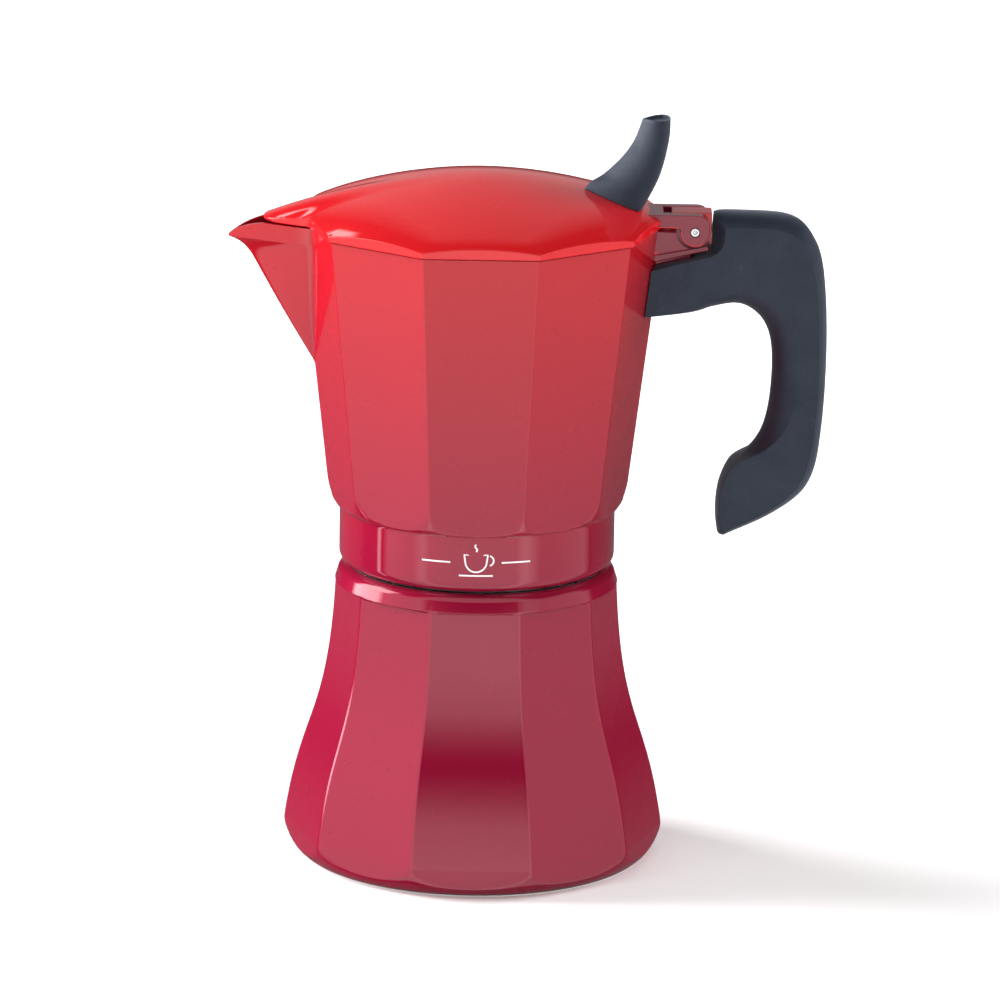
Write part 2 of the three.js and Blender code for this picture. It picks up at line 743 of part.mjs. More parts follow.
function knobScrew() {
  const head = rod(3.3, KNOB_SCREW_BOTTOM, KNOB_SCREW_BOTTOM + 1.5);
  const shank = rod(KNOB_SCREW_RADIUS, KNOB_SCREW_BOTTOM, KNOB_SCREW_TOP);
  return onKnobAxis(union(head, shank));
}

function knobWasher() {
  const [low, high] = [KNOB_SCREW_BOTTOM + 1.8, KNOB_SCREW_BOTTOM + 2.4];
  const [inner, outer] = [KNOB_SCREW_HOLE, 4];
  return onKnobAxis(ring([[inner, low], [outer, low], [outer, high], [inner, high]], SMALL_SIDES));
}

const hingePin = () => pinTool(PIN_RADIUS, EAR_OUTER + 0.1);

// ---------- handle ----------

function handleOutline() {
  const back = [[87.3, 179], [92.4, 170], [94.6, 150], [94, 126], [90.9, 107.5], [84.8, 100.4]];
  const grip = [[65.2, 102], [68.7, 111.4], [76.9, 120.6], [79.7, 138], [76.5, 152.3], [69.3, 156.2]];
  const through = (points) => points.map(([x, z]) => new THREE.Vector2(x, z));
  const shape = new THREE.Shape();
  shape.moveTo(42, 152.2);
  shape.lineTo(42, 166.8);
  shape.lineTo(47, 167.2);
  shape.lineTo(61.5, 170.3);
  shape.quadraticCurveTo(65.2, 171.3, 65.5, 176);
  shape.lineTo(66, HANDLE_TOP);
  shape.lineTo(79, HANDLE_TOP);
  shape.splineThru(through(back));
  shape.lineTo(67.2, 91.3);
  shape.lineTo(65.4, 92);
  shape.splineThru(through(grip));
  shape.lineTo(57, 153.8);
  return shape;
}

function handle() {
  const blank = slab(handleOutline(), 2 * HANDLE_HALF_WIDTH, 0, HANDLE_BEVEL);
  const below = HANDLE_SCREW_BOTTOM - 3 * REACH;
  const counterbore = rod(COUNTERBORE_RADIUS, below, COUNTERBORE_TOP);
  const shaftHole = rod(HANDLE_SCREW_RADIUS + 0.4, below, LUG_TOP);
  const screwPath = union(counterbore, shaftHole).translate([HANDLE_SCREW_X, 0, 0]);
  return cut(blank, potOutside(GAP), bracket(GAP), screwPath);
}

function handleScrew() {
  const low = HANDLE_SCREW_BOTTOM;
  const head = rod(SCREW_HEAD_RADIUS, low, low + SCREW_HEAD_HEIGHT);
  return union(head, rod(HANDLE_SCREW_RADIUS, low, HANDLE_SCREW_TOP)).translate([HANDLE_SCREW_X, 0, 0]);
}

function handleWasher() {
  const low = HANDLE_SCREW_BOTTOM + SCREW_HEAD_HEIGHT + GAP;
  const high = low + 0.5;
  const [inner, outer] = [HANDLE_SCREW_RADIUS + 0.4, COUNTERBORE_RADIUS - GAP];
  const washer = ring([[inner, low], [outer, low], [outer, high], [inner, high]], SMALL_SIDES);
  return washer.translate([HANDLE_SCREW_X, 0, 0]);
}

// ---------- assembly ----------

const pieces = [
  ['boiler', boiler, redLacquer],
  ['induction_disc', inductionDisc, steel],
  ['valve_body', valveBody, brass],
  ['valve_gasket', valveGasket, silicone],
  ['valve_seat', valveSeat, brass],
  ['valve_pin', valvePin, steel],
  ['valve_spring', valveSpring, steel],
  ['funnel', funnel, bareAluminium],
  ['funnel_plate', funnelPlate, bareAluminium],
  ['gasket', gasket, silicone],
  ['filter_plate', filterPlate, bareAluminium],
  ['collector', collector, redLacquer],
  ['riser_column', riserColumn, bareAluminium],
  ['lid', lid, redLacquer],
  ['hinge_pin', hingePin, steel],
  ['knob', knob, blackPlastic],
  ['knob_insert', knobInsert, brass],
  ['knob_screw', knobScrew, steel],
  ['knob_washer', knobWasher, steel],
  ['handle', handle, blackPlastic],
  ['handle_screw', handleScrew, steel],
  ['handle_washer', handleWasher, steel],
];

const group = new THREE.Group();
for (const [name, build, material] of pieces) {
  const mesh = new THREE.Mesh(geometryOf(build()), material());
  mesh.name = name;
  group.add(mesh);
}

export default group;
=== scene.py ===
import math

import bmesh
import bpy
import numpy as np
from mathutils import Matrix, Vector


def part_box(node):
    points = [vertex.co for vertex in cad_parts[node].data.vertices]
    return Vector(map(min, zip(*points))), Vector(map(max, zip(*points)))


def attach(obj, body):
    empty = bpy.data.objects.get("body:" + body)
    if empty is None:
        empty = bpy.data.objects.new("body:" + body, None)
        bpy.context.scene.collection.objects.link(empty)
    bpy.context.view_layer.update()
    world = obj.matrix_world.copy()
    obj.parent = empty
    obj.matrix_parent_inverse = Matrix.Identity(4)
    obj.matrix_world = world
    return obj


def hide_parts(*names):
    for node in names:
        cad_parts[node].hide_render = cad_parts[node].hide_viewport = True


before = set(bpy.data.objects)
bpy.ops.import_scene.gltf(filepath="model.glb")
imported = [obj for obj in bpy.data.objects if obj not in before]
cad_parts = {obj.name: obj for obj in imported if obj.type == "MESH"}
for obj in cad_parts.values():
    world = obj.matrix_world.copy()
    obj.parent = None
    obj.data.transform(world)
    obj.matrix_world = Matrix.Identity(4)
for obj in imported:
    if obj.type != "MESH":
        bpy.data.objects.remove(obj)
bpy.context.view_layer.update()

# Lengths in this file are millimetres in the part's own frame, and MM turns them into metres.
MM = 0.001


def corners(node):
    """The lowest and highest corner of a CAD node, in millimetres."""
    low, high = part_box(node)
    return low / MM, high / MM


# ---------- driving dimensions ----------

FACETS = 10
HALF_FACET = math.pi / FACETS
FLAT_RATIO = math.cos(HALF_FACET)
FLAT_STEPS = 12
ARC_STEPS = 5
CLEARANCE = 0.3

boiler_high = corners("boiler")[1]
collector_low = corners("collector")[0]
lid_high = corners("lid")[1]
handle_low, handle_high = corners("handle")
pin_low, pin_high = corners("hinge_pin")
valve_low, valve_high = corners("valve_body")
screw_low, screw_high = corners("handle_screw")

# Boiler
BELLY_RADIUS = boiler_high.x
BELLY_Z = 8.5
FOOT_RADIUS = BELLY_RADIUS - 7
WAIST_RADIUS = 38.75
FLANK_TOP = 76.6
SHOULDER_RADIUS = 38.75
SHOULDER_Z = 77.5
NECK_ROOT_Z = 81.4
NECK_TOP = boiler_high.z
NECK_RADIUS = 32.5
NECK_BORE = 29.3
BOILER_WALL = 2.6
BOILER_FLOOR = 3.5
VALVE_BORE = 4.3
NECK_SEEN_RADIUS = 34

# Collector
COLLAR_BOTTOM = collector_low.z
COLLAR_RADIUS = 37.7
COLLAR_BORE = 33
POT_BOTTOM = 98.6
POT_FLOOR = 104
RIM_Z = 177.6
RIM_RADIUS = 49.75
POT_TAPER = 0.1187
POT_WALL = 2.4
PLATE_SEAT = 97.6
SPOUT_TIP = collector_low.x
SPOUT_ROOT_Z = 137.5
SPOUT_HALF_WIDTH = 12.4
SPOUT_WALL = 1.5
SPOUT_FULLNESS = 0.88
BRACKET_FRONT = RIM_RADIUS - 4
BRACKET_HALF_WIDTH = 6

# Lid and hinge
LID_BOTTOM = 177.9
LID_RADIUS = 50.9
LID_APEX = lid_high.z
LID_WALL = 2
BEAK_TIP = -59.3
BEAK_ROOT_HALF_WIDTH = 11.6
BEAK_END_RADIUS = 8.4
BEAK_TOP = 178.8
BEAK_RISE = 0.39
BEAK_SAG = 0.0035
BEAK_ARCH = 44
BEAK_REACH = 45
PIN_X = (pin_low.x + pin_high.x) / 2
PIN_Z = (pin_low.z + pin_high.z) / 2
EAR_OUTER = 7.5
EAR_INNER = 4.2
EAR_TOP = 181.9
EAR_RADIUS = 4
BRIDGE_FRONT = 43.5
BRIDGE_BACK = 49.4
TONGUE_HALF_WIDTH = 3.9
PIN_HOLE = 1.4

# Knob. Its fixings lie on an axis that leans with the dome's slope.
KNOB_X = 41
KNOB_Z = 183.6
KNOB_TILT = 0.3
KNOB_FOOT_Z = 180
KNOB_TOP = 207.1
KNOB_DISH = 1.0
KNOB_SCREW_RADIUS = 1.7

# Handle
HANDLE_TOP = handle_high.z + 0.1
HANDLE_HALF_WIDTH = (handle_high.y - handle_low.y) / 2
CROWN_TURN = math.radians(58)
SCREW_X = (screw_low.x + screw_high.x) / 2
LUG_END = 57
LUG_HALF_WIDTH = 3.5
LUG_BOTTOM = 163.5


# ---------- meshes ----------

def new_object(name, data):
    piece = bpy.data.objects.new(name, data)
    bpy.context.scene.collection.objects.link(piece)
    return piece


def solid(name, points, faces):
    """A closed mesh from points in millimetres, with its faces turned outwards."""
    mesh = bpy.data.meshes.new(name)
    mesh.from_pydata((np.asarray(points, float) * MM).tolist(), [], faces)
    tidy = bmesh.new()
    tidy.from_mesh(mesh)
    bmesh.ops.recalc_face_normals(tidy, faces=tidy.faces)
    tidy.to_mesh(mesh)
    tidy.free()
    return new_object(name, mesh)


def skin(name, rows, joined=False):
    """A solid from rows of points, each a closed loop. The ends are capped, or joined into a ring."""
    count = len(rows[0])
    faces = []
    pairs = len(rows) if joined else len(rows) - 1
    for row in range(pairs):
        low, high = row * count, (row + 1) % len(rows) * count
        for step in range(count):
            after = (step + 1) % count
            faces.append((low + step, low + after, high + after, high + step))
    if not joined:
        faces.append(tuple(range(count)))
        faces.append(tuple(range((len(rows) - 1) * count, len(rows) * count)))
    return solid(name, np.concatenate(rows), faces)


def apply_modifiers(piece):
    graph = bpy.context.evaluated_depsgraph_get()
    mesh = bpy.data.meshes.new_from_object(piece.evaluated_get(graph))
    piece.modifiers.clear()
    piece.data = mesh
    return piece


def combine(piece, operation, *tools):
    """Joins or cuts the piece with other solids, which are then removed."""
    for tool in tools:
        modifier = piece.modifiers.new(tool.name, "BOOLEAN")
        modifier.operation = operation
        modifier.solver = "EXACT"
        modifier.object = tool
    apply_modifiers(piece)
    for tool in tools:
        bpy.data.objects.remove(tool)
    return piece


def soften(piece, width, segments=3, angle=30):
    """Rounds the piece's hard edges."""
    modifier = piece.modifiers.new("soften", "BEVEL")
    modifier.width = width * MM
    modifier.segments = segments
    modifier.limit_method = "ANGLE"
    modifier.angle_limit = math.radians(angle)
    return apply_modifiers(piece)


def finish_piece(piece, body, slot, materials, pick=None, sharp=28, nodes=None):
    """Sets the shading, materials and body of a piece that stands for CAD nodes. Its slot is not used."""
    mesh = piece.data
    mesh.materials.clear()
    for material in materials:
        mesh.materials.append(material)
    mesh.shade_smooth()
    mesh.set_sharp_from_angle(angle=math.radians(sharp))
    for face in mesh.polygons:
        face.material_index = pick(face.center / MM, face.normal) if pick else 0
    weighted = piece.modifiers.new("normals", "WEIGHTED_NORMAL")
    weighted.keep_sharp = True
    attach(piece, body)
    if nodes:
        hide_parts(*nodes)
    return piece


# ---------- sections ----------

def polygon_section(inradius, rounding, sides=FACETS, start=0.0):
    """A regular polygon with rounded corners. Its first flat ends at the corner angle start."""
    half = math.pi / sides
    half_flat = (inradius - rounding) * math.tan(half)
    points = []
    for side in range(sides):
        middle = start + (2 * side + 1) * half
        normal = np.array([math.cos(middle), math.sin(middle)])
        along = np.array([-normal[1], normal[0]])
        for step in range(FLAT_STEPS + 1):
            share = -math.cos(math.pi * step / FLAT_STEPS)
            points.append(inradius * normal + share * half_flat * along)
        centre = (inradius - rounding) * normal + half_flat * along
        for step in range(1, ARC_STEPS):
            turn = middle + 2 * half * step / ARC_STEPS
            points.append(centre + rounding * np.array([math.cos(turn), math.sin(turn)]))
    return np.array(points)


def smooth_min(a, b, width):
    share = np.clip(0.5 + 0.5 * (b - a) / width, 0, 1)
    return b + (a - b) * share - width * share * (1 - share)


def smooth_max(a, b, width):
    return -smooth_min(-a, -b, width)


def ease(value, low, high):
    share = np.clip((value - low) / (high - low), 0, 1)
    return share * share * (3 - 2 * share)


def at_height(section, z):
    return np.column_stack([section, np.full(len(section), z)])


def facet_row(z, corner_radius, cut_radius=None, rounding=1.0, blend=0.4):
    """A decagon row, cut back to a turned radius where that is smaller."""
    section = polygon_section(corner_radius * FLAT_RATIO, rounding)
    if cut_radius is not None:
        radius = np.hypot(section[:, 0], section[:, 1])
        section = section * (smooth_min(radius, cut_radius, blend) / radius)[:, None]
    return at_height(section, z)


def round_row(z, radius):
    """A round row whose points lie at the same angles as a decagon row's."""
    section = polygon_section(1.0, 0.02)
    return at_height(radius * section / np.hypot(section[:, 0], section[:, 1])[:, None], z)


def round_rows(outline):
    """Round rows from a list of [radius, height]."""
    return [round_row(z, radius) for radius, z in outline]


def mixed_row(z, corner_radius, radius, share, rounding=1.0):
    """Between a decagon at share 0 and a circle at share 1."""
    return facet_row(z, corner_radius, None, rounding) * (1 - share) + round_row(z, radius) * share


def thread_rows(low, high, radius, depth, pitch=2.0):
    """Rows of a helical thread whose crest stands at radius and whose root is depth inside it."""
    rows = []
    count = int((high - low) / pitch * 8)
    for step in range(count + 1):
        z = low + (high - low) * step / count
        row = round_row(z, 1.0)
        turn = np.arctan2(row[:, 1], row[:, 0]) / (2 * math.pi)
        wave = 0.5 + 0.5 * np.cos(2 * math.pi * (z / pitch - turn))
        run = ease(z, low, low + pitch) * (1 - ease(z, high - pitch, high))
        radii = radius - depth * (1 - run * wave)
        row[:, :2] *= radii[:, None]
        rows.append(row)
    return rows


def bezier(points, share):
    """A point on the cubic curve with these four control points."""
    a, b, c, d = (np.array(p, float) for p in points)
    rest = 1 - share
    return rest**3 * a + 3 * rest**2 * share * b + 3 * rest * share**2 * c + share**3 * d


def rounded(outline, radius, steps=3):
    """An outline with each corner turned into a short arc. Entries may hold their own radius."""
    result = []
    count = len(outline)
    for index, entry in enumerate(outline):
        corner = np.array(entry[:2], float)
        wanted = entry[2] if len(entry) > 2 else radius
        before = np.array(outline[index - 1][:2], float) - corner
        after = np.array(outline[(index + 1) % count][:2], float) - corner
        room = 0.45 * min(np.linalg.norm(before), np.linalg.norm(after))
        reach = min(wanted, room)
        if reach < 0.01:
            result.append(corner)
            continue
        start = corner + before / np.linalg.norm(before) * reach
        end = corner + after / np.linalg.norm(after) * reach
        for step in range(steps + 1):
            share = step / steps
            result.append((1 - share) ** 2 * start + 2 * share * (1 - share) * corner + share**2 * end)
    return result


def rectangle(low_x, high_x, low_z, high_z):
    """The four corners of a rectangle, as an outline."""
    return [(low_x, low_z), (high_x, low_z), (high_x, high_z), (low_x, high_z)]


def turned(name, outline, sides=96, edge=0.25, place=None):
    """A turned solid from a closed [radius, height] outline, which may start and end on the axis."""
    marked = [(*point[:2], 0) if point[0] == 0 else point for point in outline]
    line = [point for point in rounded(marked, edge) if point[0] > 1e-6]
    angles = np.arange(sides) * 2 * math.pi / sides
    circle = np.column_stack([np.cos(angles), np.sin(angles)])
    rows = [at_height(radius * circle, z) for radius, z in line]
    piece = skin(name, rows, joined=outline[0][0] > 0)
    if place is not None:
        piece.data.transform(place)
    return piece


def hole(name, radius, low, high, sides, place):
    """A round bar that cuts a hole."""
    return turned(name, rectangle(0, radius, low, high), sides, 0, place)


def along_y(x, z):
    """Lays a shape that was turned about Z along Y, through the point x, z."""
    return Matrix.Translation((x * MM, 0, z * MM)) @ Matrix.Rotation(-math.pi / 2, 4, "X")


def at_screw():
    """Places a turned shape on the handle screw's axis."""
    return Matrix.Translation((SCREW_X * MM, 0, 0))


def on_knob_axis():
    """Places a shape, turned about Z, on the knob's leaning axis with zero at the dome's face."""
    return Matrix.Translation((KNOB_X * MM, 0, KNOB_Z * MM)) @ Matrix.Rotation(KNOB_TILT, 4, "Y")


def prism(name, outline, low_y, high_y, edge=0.5, segments=3):
    """A flat [x, z] outline with its thickness along Y and rounded edges."""
    count = len(outline)
    points = [(x, y, z) for y in (low_y, high_y) for x, z in outline]
    faces = [tuple(range(count)), tuple(range(count, 2 * count))]
    for step in range(count):
        after = (step + 1) % count
        faces.append((step, after, count + after, count + step))
    piece = solid(name, points, faces)
    return soften(piece, edge, segments) if edge else piece


def arc(centre, radius, start, end, steps=12):
    """Points on a circle in the XZ plane, by angles in degrees from +X."""
    return [
        (centre[0] + radius * math.cos(math.radians(turn)), centre[1] + radius * math.sin(math.radians(turn)))
        for turn in np.linspace(start, end, steps)
    ]


def spline(points, per_span):
    """A smooth line through the given points."""
    known = np.array(points, float)
    padded = np.vstack([2 * known[0] - known[1], known, 2 * known[-1] - known[-2]])
    line = []
    for index in range(1, len(padded) - 2):
        before, a, b, after = padded[index - 1 : index + 3]
        for step in range(per_span):
            share = step / per_span
            line.append(
                0.5 * (2 * a + (b - before) * share
                       + (2 * before - 5 * a + 4 * b - after) * share**2
                       + (3 * a - before - 3 * b + after) * share**3)
            )
    line.append(known[-1])
    return [tuple(point) for point in line]


def spaced(line, count):
    """The same line with evenly spaced points."""
    line = np.array(line, float)
    lengths = np.concatenate([[0], np.cumsum(np.linalg.norm(np.diff(line, axis=0), axis=1))])
    wanted = np.linspace(0, lengths[-1], count)
    return np.column_stack([np.interp(wanted, lengths, line[:, axis]) for axis in range(line.shape[1])])


# ---------- materials ----------

def add_node(tree, kind, inputs=(), **settings):
    made = tree.nodes.new(kind)
    for name, value in settings.items():
        setattr(made, name, value)
    for name, value in dict(inputs).items():
        if isinstance(value, bpy.types.NodeSocket):
            tree.links.new(value, made.inputs[name])
        else:
            made.inputs[name].default_value = value
    return made


def new_material(name, **sockets):
    """A Principled material and its node tree, with constant values set on the shader."""
    material = bpy.data.materials.new(name)
    material.use_nodes = True
    tree = material.node_tree
    shader = tree.nodes["Principled BSDF"]
    for socket, value in sockets.items():
        shader.inputs[socket.replace("_", " ")].default_value = value
    place = add_node(tree, "ShaderNodeTexCoord").outputs["Object"]
    return material, tree, shader, place


def noise(tree, place, scale, detail=3.0, roughness=0.5):
    """Noise whose scale counts features per metre, in the part's own frame."""
    inputs = {"Vector": place, "Scale": scale, "Detail": detail, "Roughness": roughness}
    return add_node(tree, "ShaderNodeTexNoise", inputs).outputs["Fac"]


def spread(tree, value, from_low, from_high, to_low, to_high):
    """Maps a value from one range to another."""
    names = ("Value", "From Min", "From Max", "To Min", "To Max")
    inputs = zip(names, (value, from_low, from_high, to_low, to_high))
    return add_node(tree, "ShaderNodeMapRange", inputs).outputs["Result"]


def mix_colours(tree, share, first, second):
    made = add_node(tree, "ShaderNodeMix", data_type="RGBA")
    for index, value in ((0, share), (6, first), (7, second)):
        if isinstance(value, bpy.types.NodeSocket):
            tree.links.new(value, made.inputs[index])
        else:
            made.inputs[index].default_value = value
    return made.outputs[2]


def bumps(tree, shader, height, strength, distance, under=None):
    inputs = {"Height": height, "Strength": strength, "Distance": distance * MM}
    if under is not None:
        inputs["Normal"] = under
    normal = add_node(tree, "ShaderNodeBump", inputs).outputs["Normal"]
    tree.links.new(normal, shader.inputs["Normal"])
    return normal


def surface(tree, shader, place, colour, rough=None):
    """Links a colour and a wandering roughness: its noise's scale and detail, its lowest and highest."""
    tree.links.new(colour, shader.inputs["Base Color"])
    if rough:
        scale, detail, low, high = rough
        value = spread(tree, noise(tree, place, scale, detail), 0.3, 0.7, low, high)
        tree.links.new(value, shader.inputs["Roughness"])


def red_lacquer(name, foot_red_and_shade, rim_red_and_light, peel=0.015, peel_scale=300):
    """Translucent red lacquer on aluminium, with one red given at the pot's foot and another at its rim.
    Where they differ, the darker foot and lighter rim are painted shading, lighter towards the top where more
    light falls.
    """
    material, tree, shader, place = new_material(
        name, Metallic=0.25, Specular_IOR_Level=0.0, Coat_Weight=1.0, Coat_Roughness=0.04, Coat_IOR=1.5
    )
    height = add_node(tree, "ShaderNodeSeparateXYZ", {"Vector": place}).outputs["Z"]
    # Painted shading: the red mixes by height from the darker foot colour to the lighter rim colour.
    share = spread(tree, height, SHADING_LOW * MM, SHADING_HIGH * MM, 0.0, 1.0)
    tone = mix_colours(tree, share, foot_red_and_shade, rim_red_and_light)
    mottle = spread(tree, noise(tree, place, 30, 3), 0.3, 0.7, 0.0, 0.08)
    colour = mix_colours(tree, mottle, tone, DEEP_RED)
    surface(tree, shader, place, colour, (160, 3, 0.26, 0.36))
    bumps(tree, shader, noise(tree, place, peel_scale, 2), peel, 0.05)
    return material


def bare_aluminium():
    """Turned and tumbled aluminium with fine circular tool lines."""
    material, tree, shader, place = new_material("bare_aluminium_satin", Metallic=1.0)
    colour = mix_colours(tree, noise(tree, place, 60, 5), (0.62, 0.63, 0.64, 1), (0.83, 0.83, 0.82, 1))
    surface(tree, shader, place, colour, (240, 4, 0.28, 0.5))
    lines = add_node(
        tree, "ShaderNodeTexWave", {"Vector": place, "Scale": 400.0, "Distortion": 0.6, "Detail": 2.0},
        wave_type="RINGS", rings_direction="Z",
    ).outputs["Fac"]
    bumps(tree, shader, lines, 0.12, 0.03)
    return material


def black_plastic():
    """Fine-grained moulded plastic, blue-black, with pale rub marks and soft scuffs."""
    blue = (0.78, 0.86, 1.0, 1)
    material, tree, shader, place = new_material(
        "black_plastic_grained", Specular_IOR_Level=0.36, Specular_Tint=blue,
        Sheen_Weight=0.16, Sheen_Roughness=0.45, Sheen_Tint=blue,
    )
    cloud = spread(tree, noise(tree, place, 55, 5, 0.65), 0.35, 0.75, 0.0, 1.0)
    tone = mix_colours(tree, cloud, (0.006, 0.009, 0.018, 1), (0.014, 0.018, 0.030, 1))
    specks = spread(tree, noise(tree, place, 2600, 2, 0.7), 0.62, 0.80, 0.0, 0.2)
    scuffed = mix_colours(tree, specks, tone, (0.13, 0.14, 0.16, 1))
    scuff = spread(tree, noise(tree, place, 95, 6, 0.75), 0.60, 0.78, 0.0, 0.22)
    colour = mix_colours(tree, scuff, scuffed, (0.09, 0.10, 0.12, 1))
    surface(tree, shader, place, colour, (120, 4, 0.38, 0.54))
    grain = bumps(tree, shader, noise(tree, place, 2200, 3, 0.6), 0.35, 0.08)
    bumps(tree, shader, noise(tree, place, 140, 3), 0.12, 0.25, under=grain)
    return material


def clouded(name, clouds, dark, light, rough=None, bump=None, **sockets):
    """A surface with clouded colour. Bump holds noise scale and detail, strength and depth."""
    material, tree, shader, place = new_material(name, **sockets)
    colour = mix_colours(tree, noise(tree, place, *clouds), (*dark, 1), (*light, 1))
    surface(tree, shader, place, colour, rough)
    if bump:
        scale, detail, strength, depth = bump
        bumps(tree, shader, noise(tree, place, scale, detail), strength, depth)
    return material


def turned_metal(name, dark, light, rough):
    return clouded(name, (180, 4), dark, light, (700, 3, *rough), (1800, 3, 0.1, 0.03), Metallic=1.0)


# The lacquer's red changes between these heights: painted shading, darker towards the foot and lighter
# towards the rim.
SHADING_LOW = 85
SHADING_HIGH = 178
DEEP_RED = (0.20, 0.002, 0.015, 1)
# Crimson at the foot and scarlet at the rim: the change between them is painted shading.
CRIMSON = (0.230, 0.004, 0.026, 1)
SCARLET = (0.42, 0.008, 0.014, 1)
# The lid's red is lighter than the pot's: painted light on the top of the pot.
LID_SCARLET_LIT = (0.60, 0.010, 0.014, 1)
CAST_CRIMSON = (0.17, 0.008, 0.022, 1)
POT_RED = red_lacquer("red_lacquer_pot", CRIMSON, SCARLET)
LID_RED = red_lacquer("red_lacquer_lid", LID_SCARLET_LIT, LID_SCARLET_LIT)
CAST_RED = red_lacquer("red_lacquer_cast", CAST_CRIMSON, CAST_CRIMSON, 0.35, 1400)
ALUMINIUM = bare_aluminium()
BLACK = black_plastic()
STEEL = turned_metal("steel_turned", (0.50, 0.50, 0.51), (0.68, 0.68, 0.69), (0.2, 0.36))
BRASS = turned_metal("brass_turned", (0.62, 0.44, 0.18), (0.80, 0.62, 0.31), (0.2, 0.38))
SILICONE = clouded(
    "silicone_moulded", (120, 4), (0.72, 0.70, 0.64), (0.86, 0.84, 0.79), (500, 3, 0.5, 0.68),
    (1500, 3, 0.15, 0.05), Subsurface_Weight=0.2,
)
PRINT = clouded(
    "white_print", (900, 3), (0.78, 0.74, 0.74), (0.90, 0.88, 0.87), None, (2500, 2, 0.1, 0.02),
    Coat_Weight=0.6, Coat_Roughness=0.1,
)
PLAIN_FINISH = {"steel": STEEL, "brass": BRASS, "silicone": SILICONE, "bare_aluminium": ALUMINIUM}


# ---------- boiler ----------

FLANK = [(BELLY_RADIUS, BELLY_Z), (47.8, 40), (40.6, 36.7), (WAIST_RADIUS, FLANK_TOP)]
BOILER_ROUNDING = 2.2
FOOT_CURVE = 1.5
FOOT_ROWS = 30
FLANK_ROWS = 44


def foot_rows():
    """The turned rounding under the belly, which trims the facets into scallops."""
    rows = []
    for share in np.linspace(0, 1, FOOT_ROWS):
        swell = (1 - (1 - share) ** FOOT_CURVE) ** (1 / FOOT_CURVE)
        turned_radius = FOOT_RADIUS + (BELLY_RADIUS - FOOT_RADIUS) * swell
        rows.append(facet_row(BELLY_Z * share, BELLY_RADIUS, turned_radius, BOILER_ROUNDING, 0.5))
    return rows


def flank_rows():
    rows = []
    for share in np.linspace(0, 1, FLANK_ROWS)[1:]:
        radius, z = bezier(FLANK, share)
        rows.append(facet_row(z, radius, None, BOILER_ROUNDING))
    return rows


def shoulder_rows():
    """The facets end at a turned band, which leans in and rounds over towards the neck."""
    rows = []
    for share in np.linspace(0, 1, 7)[1:]:
        z = FLANK_TOP + (SHOULDER_Z - FLANK_TOP) * share
        rows.append(mixed_row(z, WAIST_RADIUS, SHOULDER_RADIUS, ease(share, 0.2, 1), BOILER_ROUNDING))
    band = [(SHOULDER_RADIUS - 0.05, SHOULDER_Z + 0.3), (SHOULDER_RADIUS - 0.9, 80.5)]
    crown = arc((35.0, 79.1), 3.2, 26, 88, 9)
    return rows + round_rows([*band, *crown, (34.2, NECK_ROOT_Z + 0.7)])


def neck_rows():
    thread = thread_rows(NECK_ROOT_Z + 1.6, NECK_TOP - 0.8, NECK_RADIUS, 0.8)
    root = [(33.2, NECK_ROOT_Z + 0.3), (32.2, NECK_ROOT_Z + 0.5), (31.7, NECK_ROOT_Z + 1.4)]
    top = [(31.5, NECK_TOP - 0.3), (31.2, NECK_TOP), (NECK_BORE + 0.5, NECK_TOP), (NECK_BORE, NECK_TOP - 0.5)]
    return round_rows(root) + thread + round_rows(top)


def boiler_inside_rows():
    rows = [round_row(NECK_ROOT_Z - 1.5, NECK_BORE), round_row(NECK_ROOT_Z - 2.6, NECK_BORE + 0.4)]
    for share in np.linspace(1, 0, 16):
        radius, z = bezier(FLANK, share)
        rows.append(round_row(z - 1.5 * share, radius * FLAT_RATIO - BOILER_WALL))
    rows.append(round_row(BOILER_FLOOR + 1.2, FOOT_RADIUS - BOILER_WALL + 0.5))
    rows.append(round_row(BOILER_FLOOR, FOOT_RADIUS - BOILER_WALL - 1.2))
    return rows


def on_valve_axis():
    return along_y(0, (valve_low.z + valve_high.z) / 2)


def make_boiler():
    disc_high = corners("induction_disc")[1]
    recess = disc_high.y + 0.9
    rows = round_rows([(recess, disc_high.z + CLEARANCE), (recess, 0.4), (recess + 0.4, 0)])
    rows += foot_rows() + flank_rows() + shoulder_rows() + neck_rows() + boiler_inside_rows()
    piece = skin("boiler_body", rows)
    boss_end = corners("valve_gasket")[0].y - CLEARANCE
    outline = [(0, 33.5), (7.2, 33.5), (7.2, boss_end, 0.8), (0, boss_end)]
    boss = turned("boss", outline, 64, 0.6, on_valve_axis())
    bore = hole("bore", VALVE_BORE, 20, valve_high.y, 48, on_valve_axis())
    combine(piece, "UNION", boss)
    combine(piece, "DIFFERENCE", bore)

    def pick(centre, normal):
        outside = math.hypot(centre.x, centre.y)
        inner = outside < NECK_SEEN_RADIUS or (normal.x * centre.x + normal.y * centre.y) < -1
        under = centre.z < 0.3 and normal.z < -0.9
        return 1 if inner or under else 0

    return finish_piece(piece, "base", "red_lacquer", [POT_RED, ALUMINIUM], pick, nodes=["boiler"])


# ---------- collector ----------

def corner_radius_at(z):
    return RIM_RADIUS - POT_TAPER * (RIM_Z - z)


POT_ROUNDING = 1.0
POT_FOOT = [(0, 37.75), (0.4, 38.6), (1.7, 39.7), (3.8, 40.4), (6.4, 41.2), (9, 43)]


def pot_row(z, corner_radius):
    return facet_row(z, corner_radius, None, POT_ROUNDING)


def pot_rows():
    rises, radii = zip(*POT_FOOT)
    rows = []
    for rise in np.linspace(0.02, 8, 30):
        z = POT_BOTTOM + rise
        turned_radius = float(np.interp(rise, rises, radii))
        rows.append(facet_row(z, corner_radius_at(z), turned_radius, POT_ROUNDING, 0.3))
    for z in np.linspace(POT_BOTTOM + 9, RIM_Z - 0.5, 16):
        rows.append(pot_row(z, corner_radius_at(z)))
    return rows


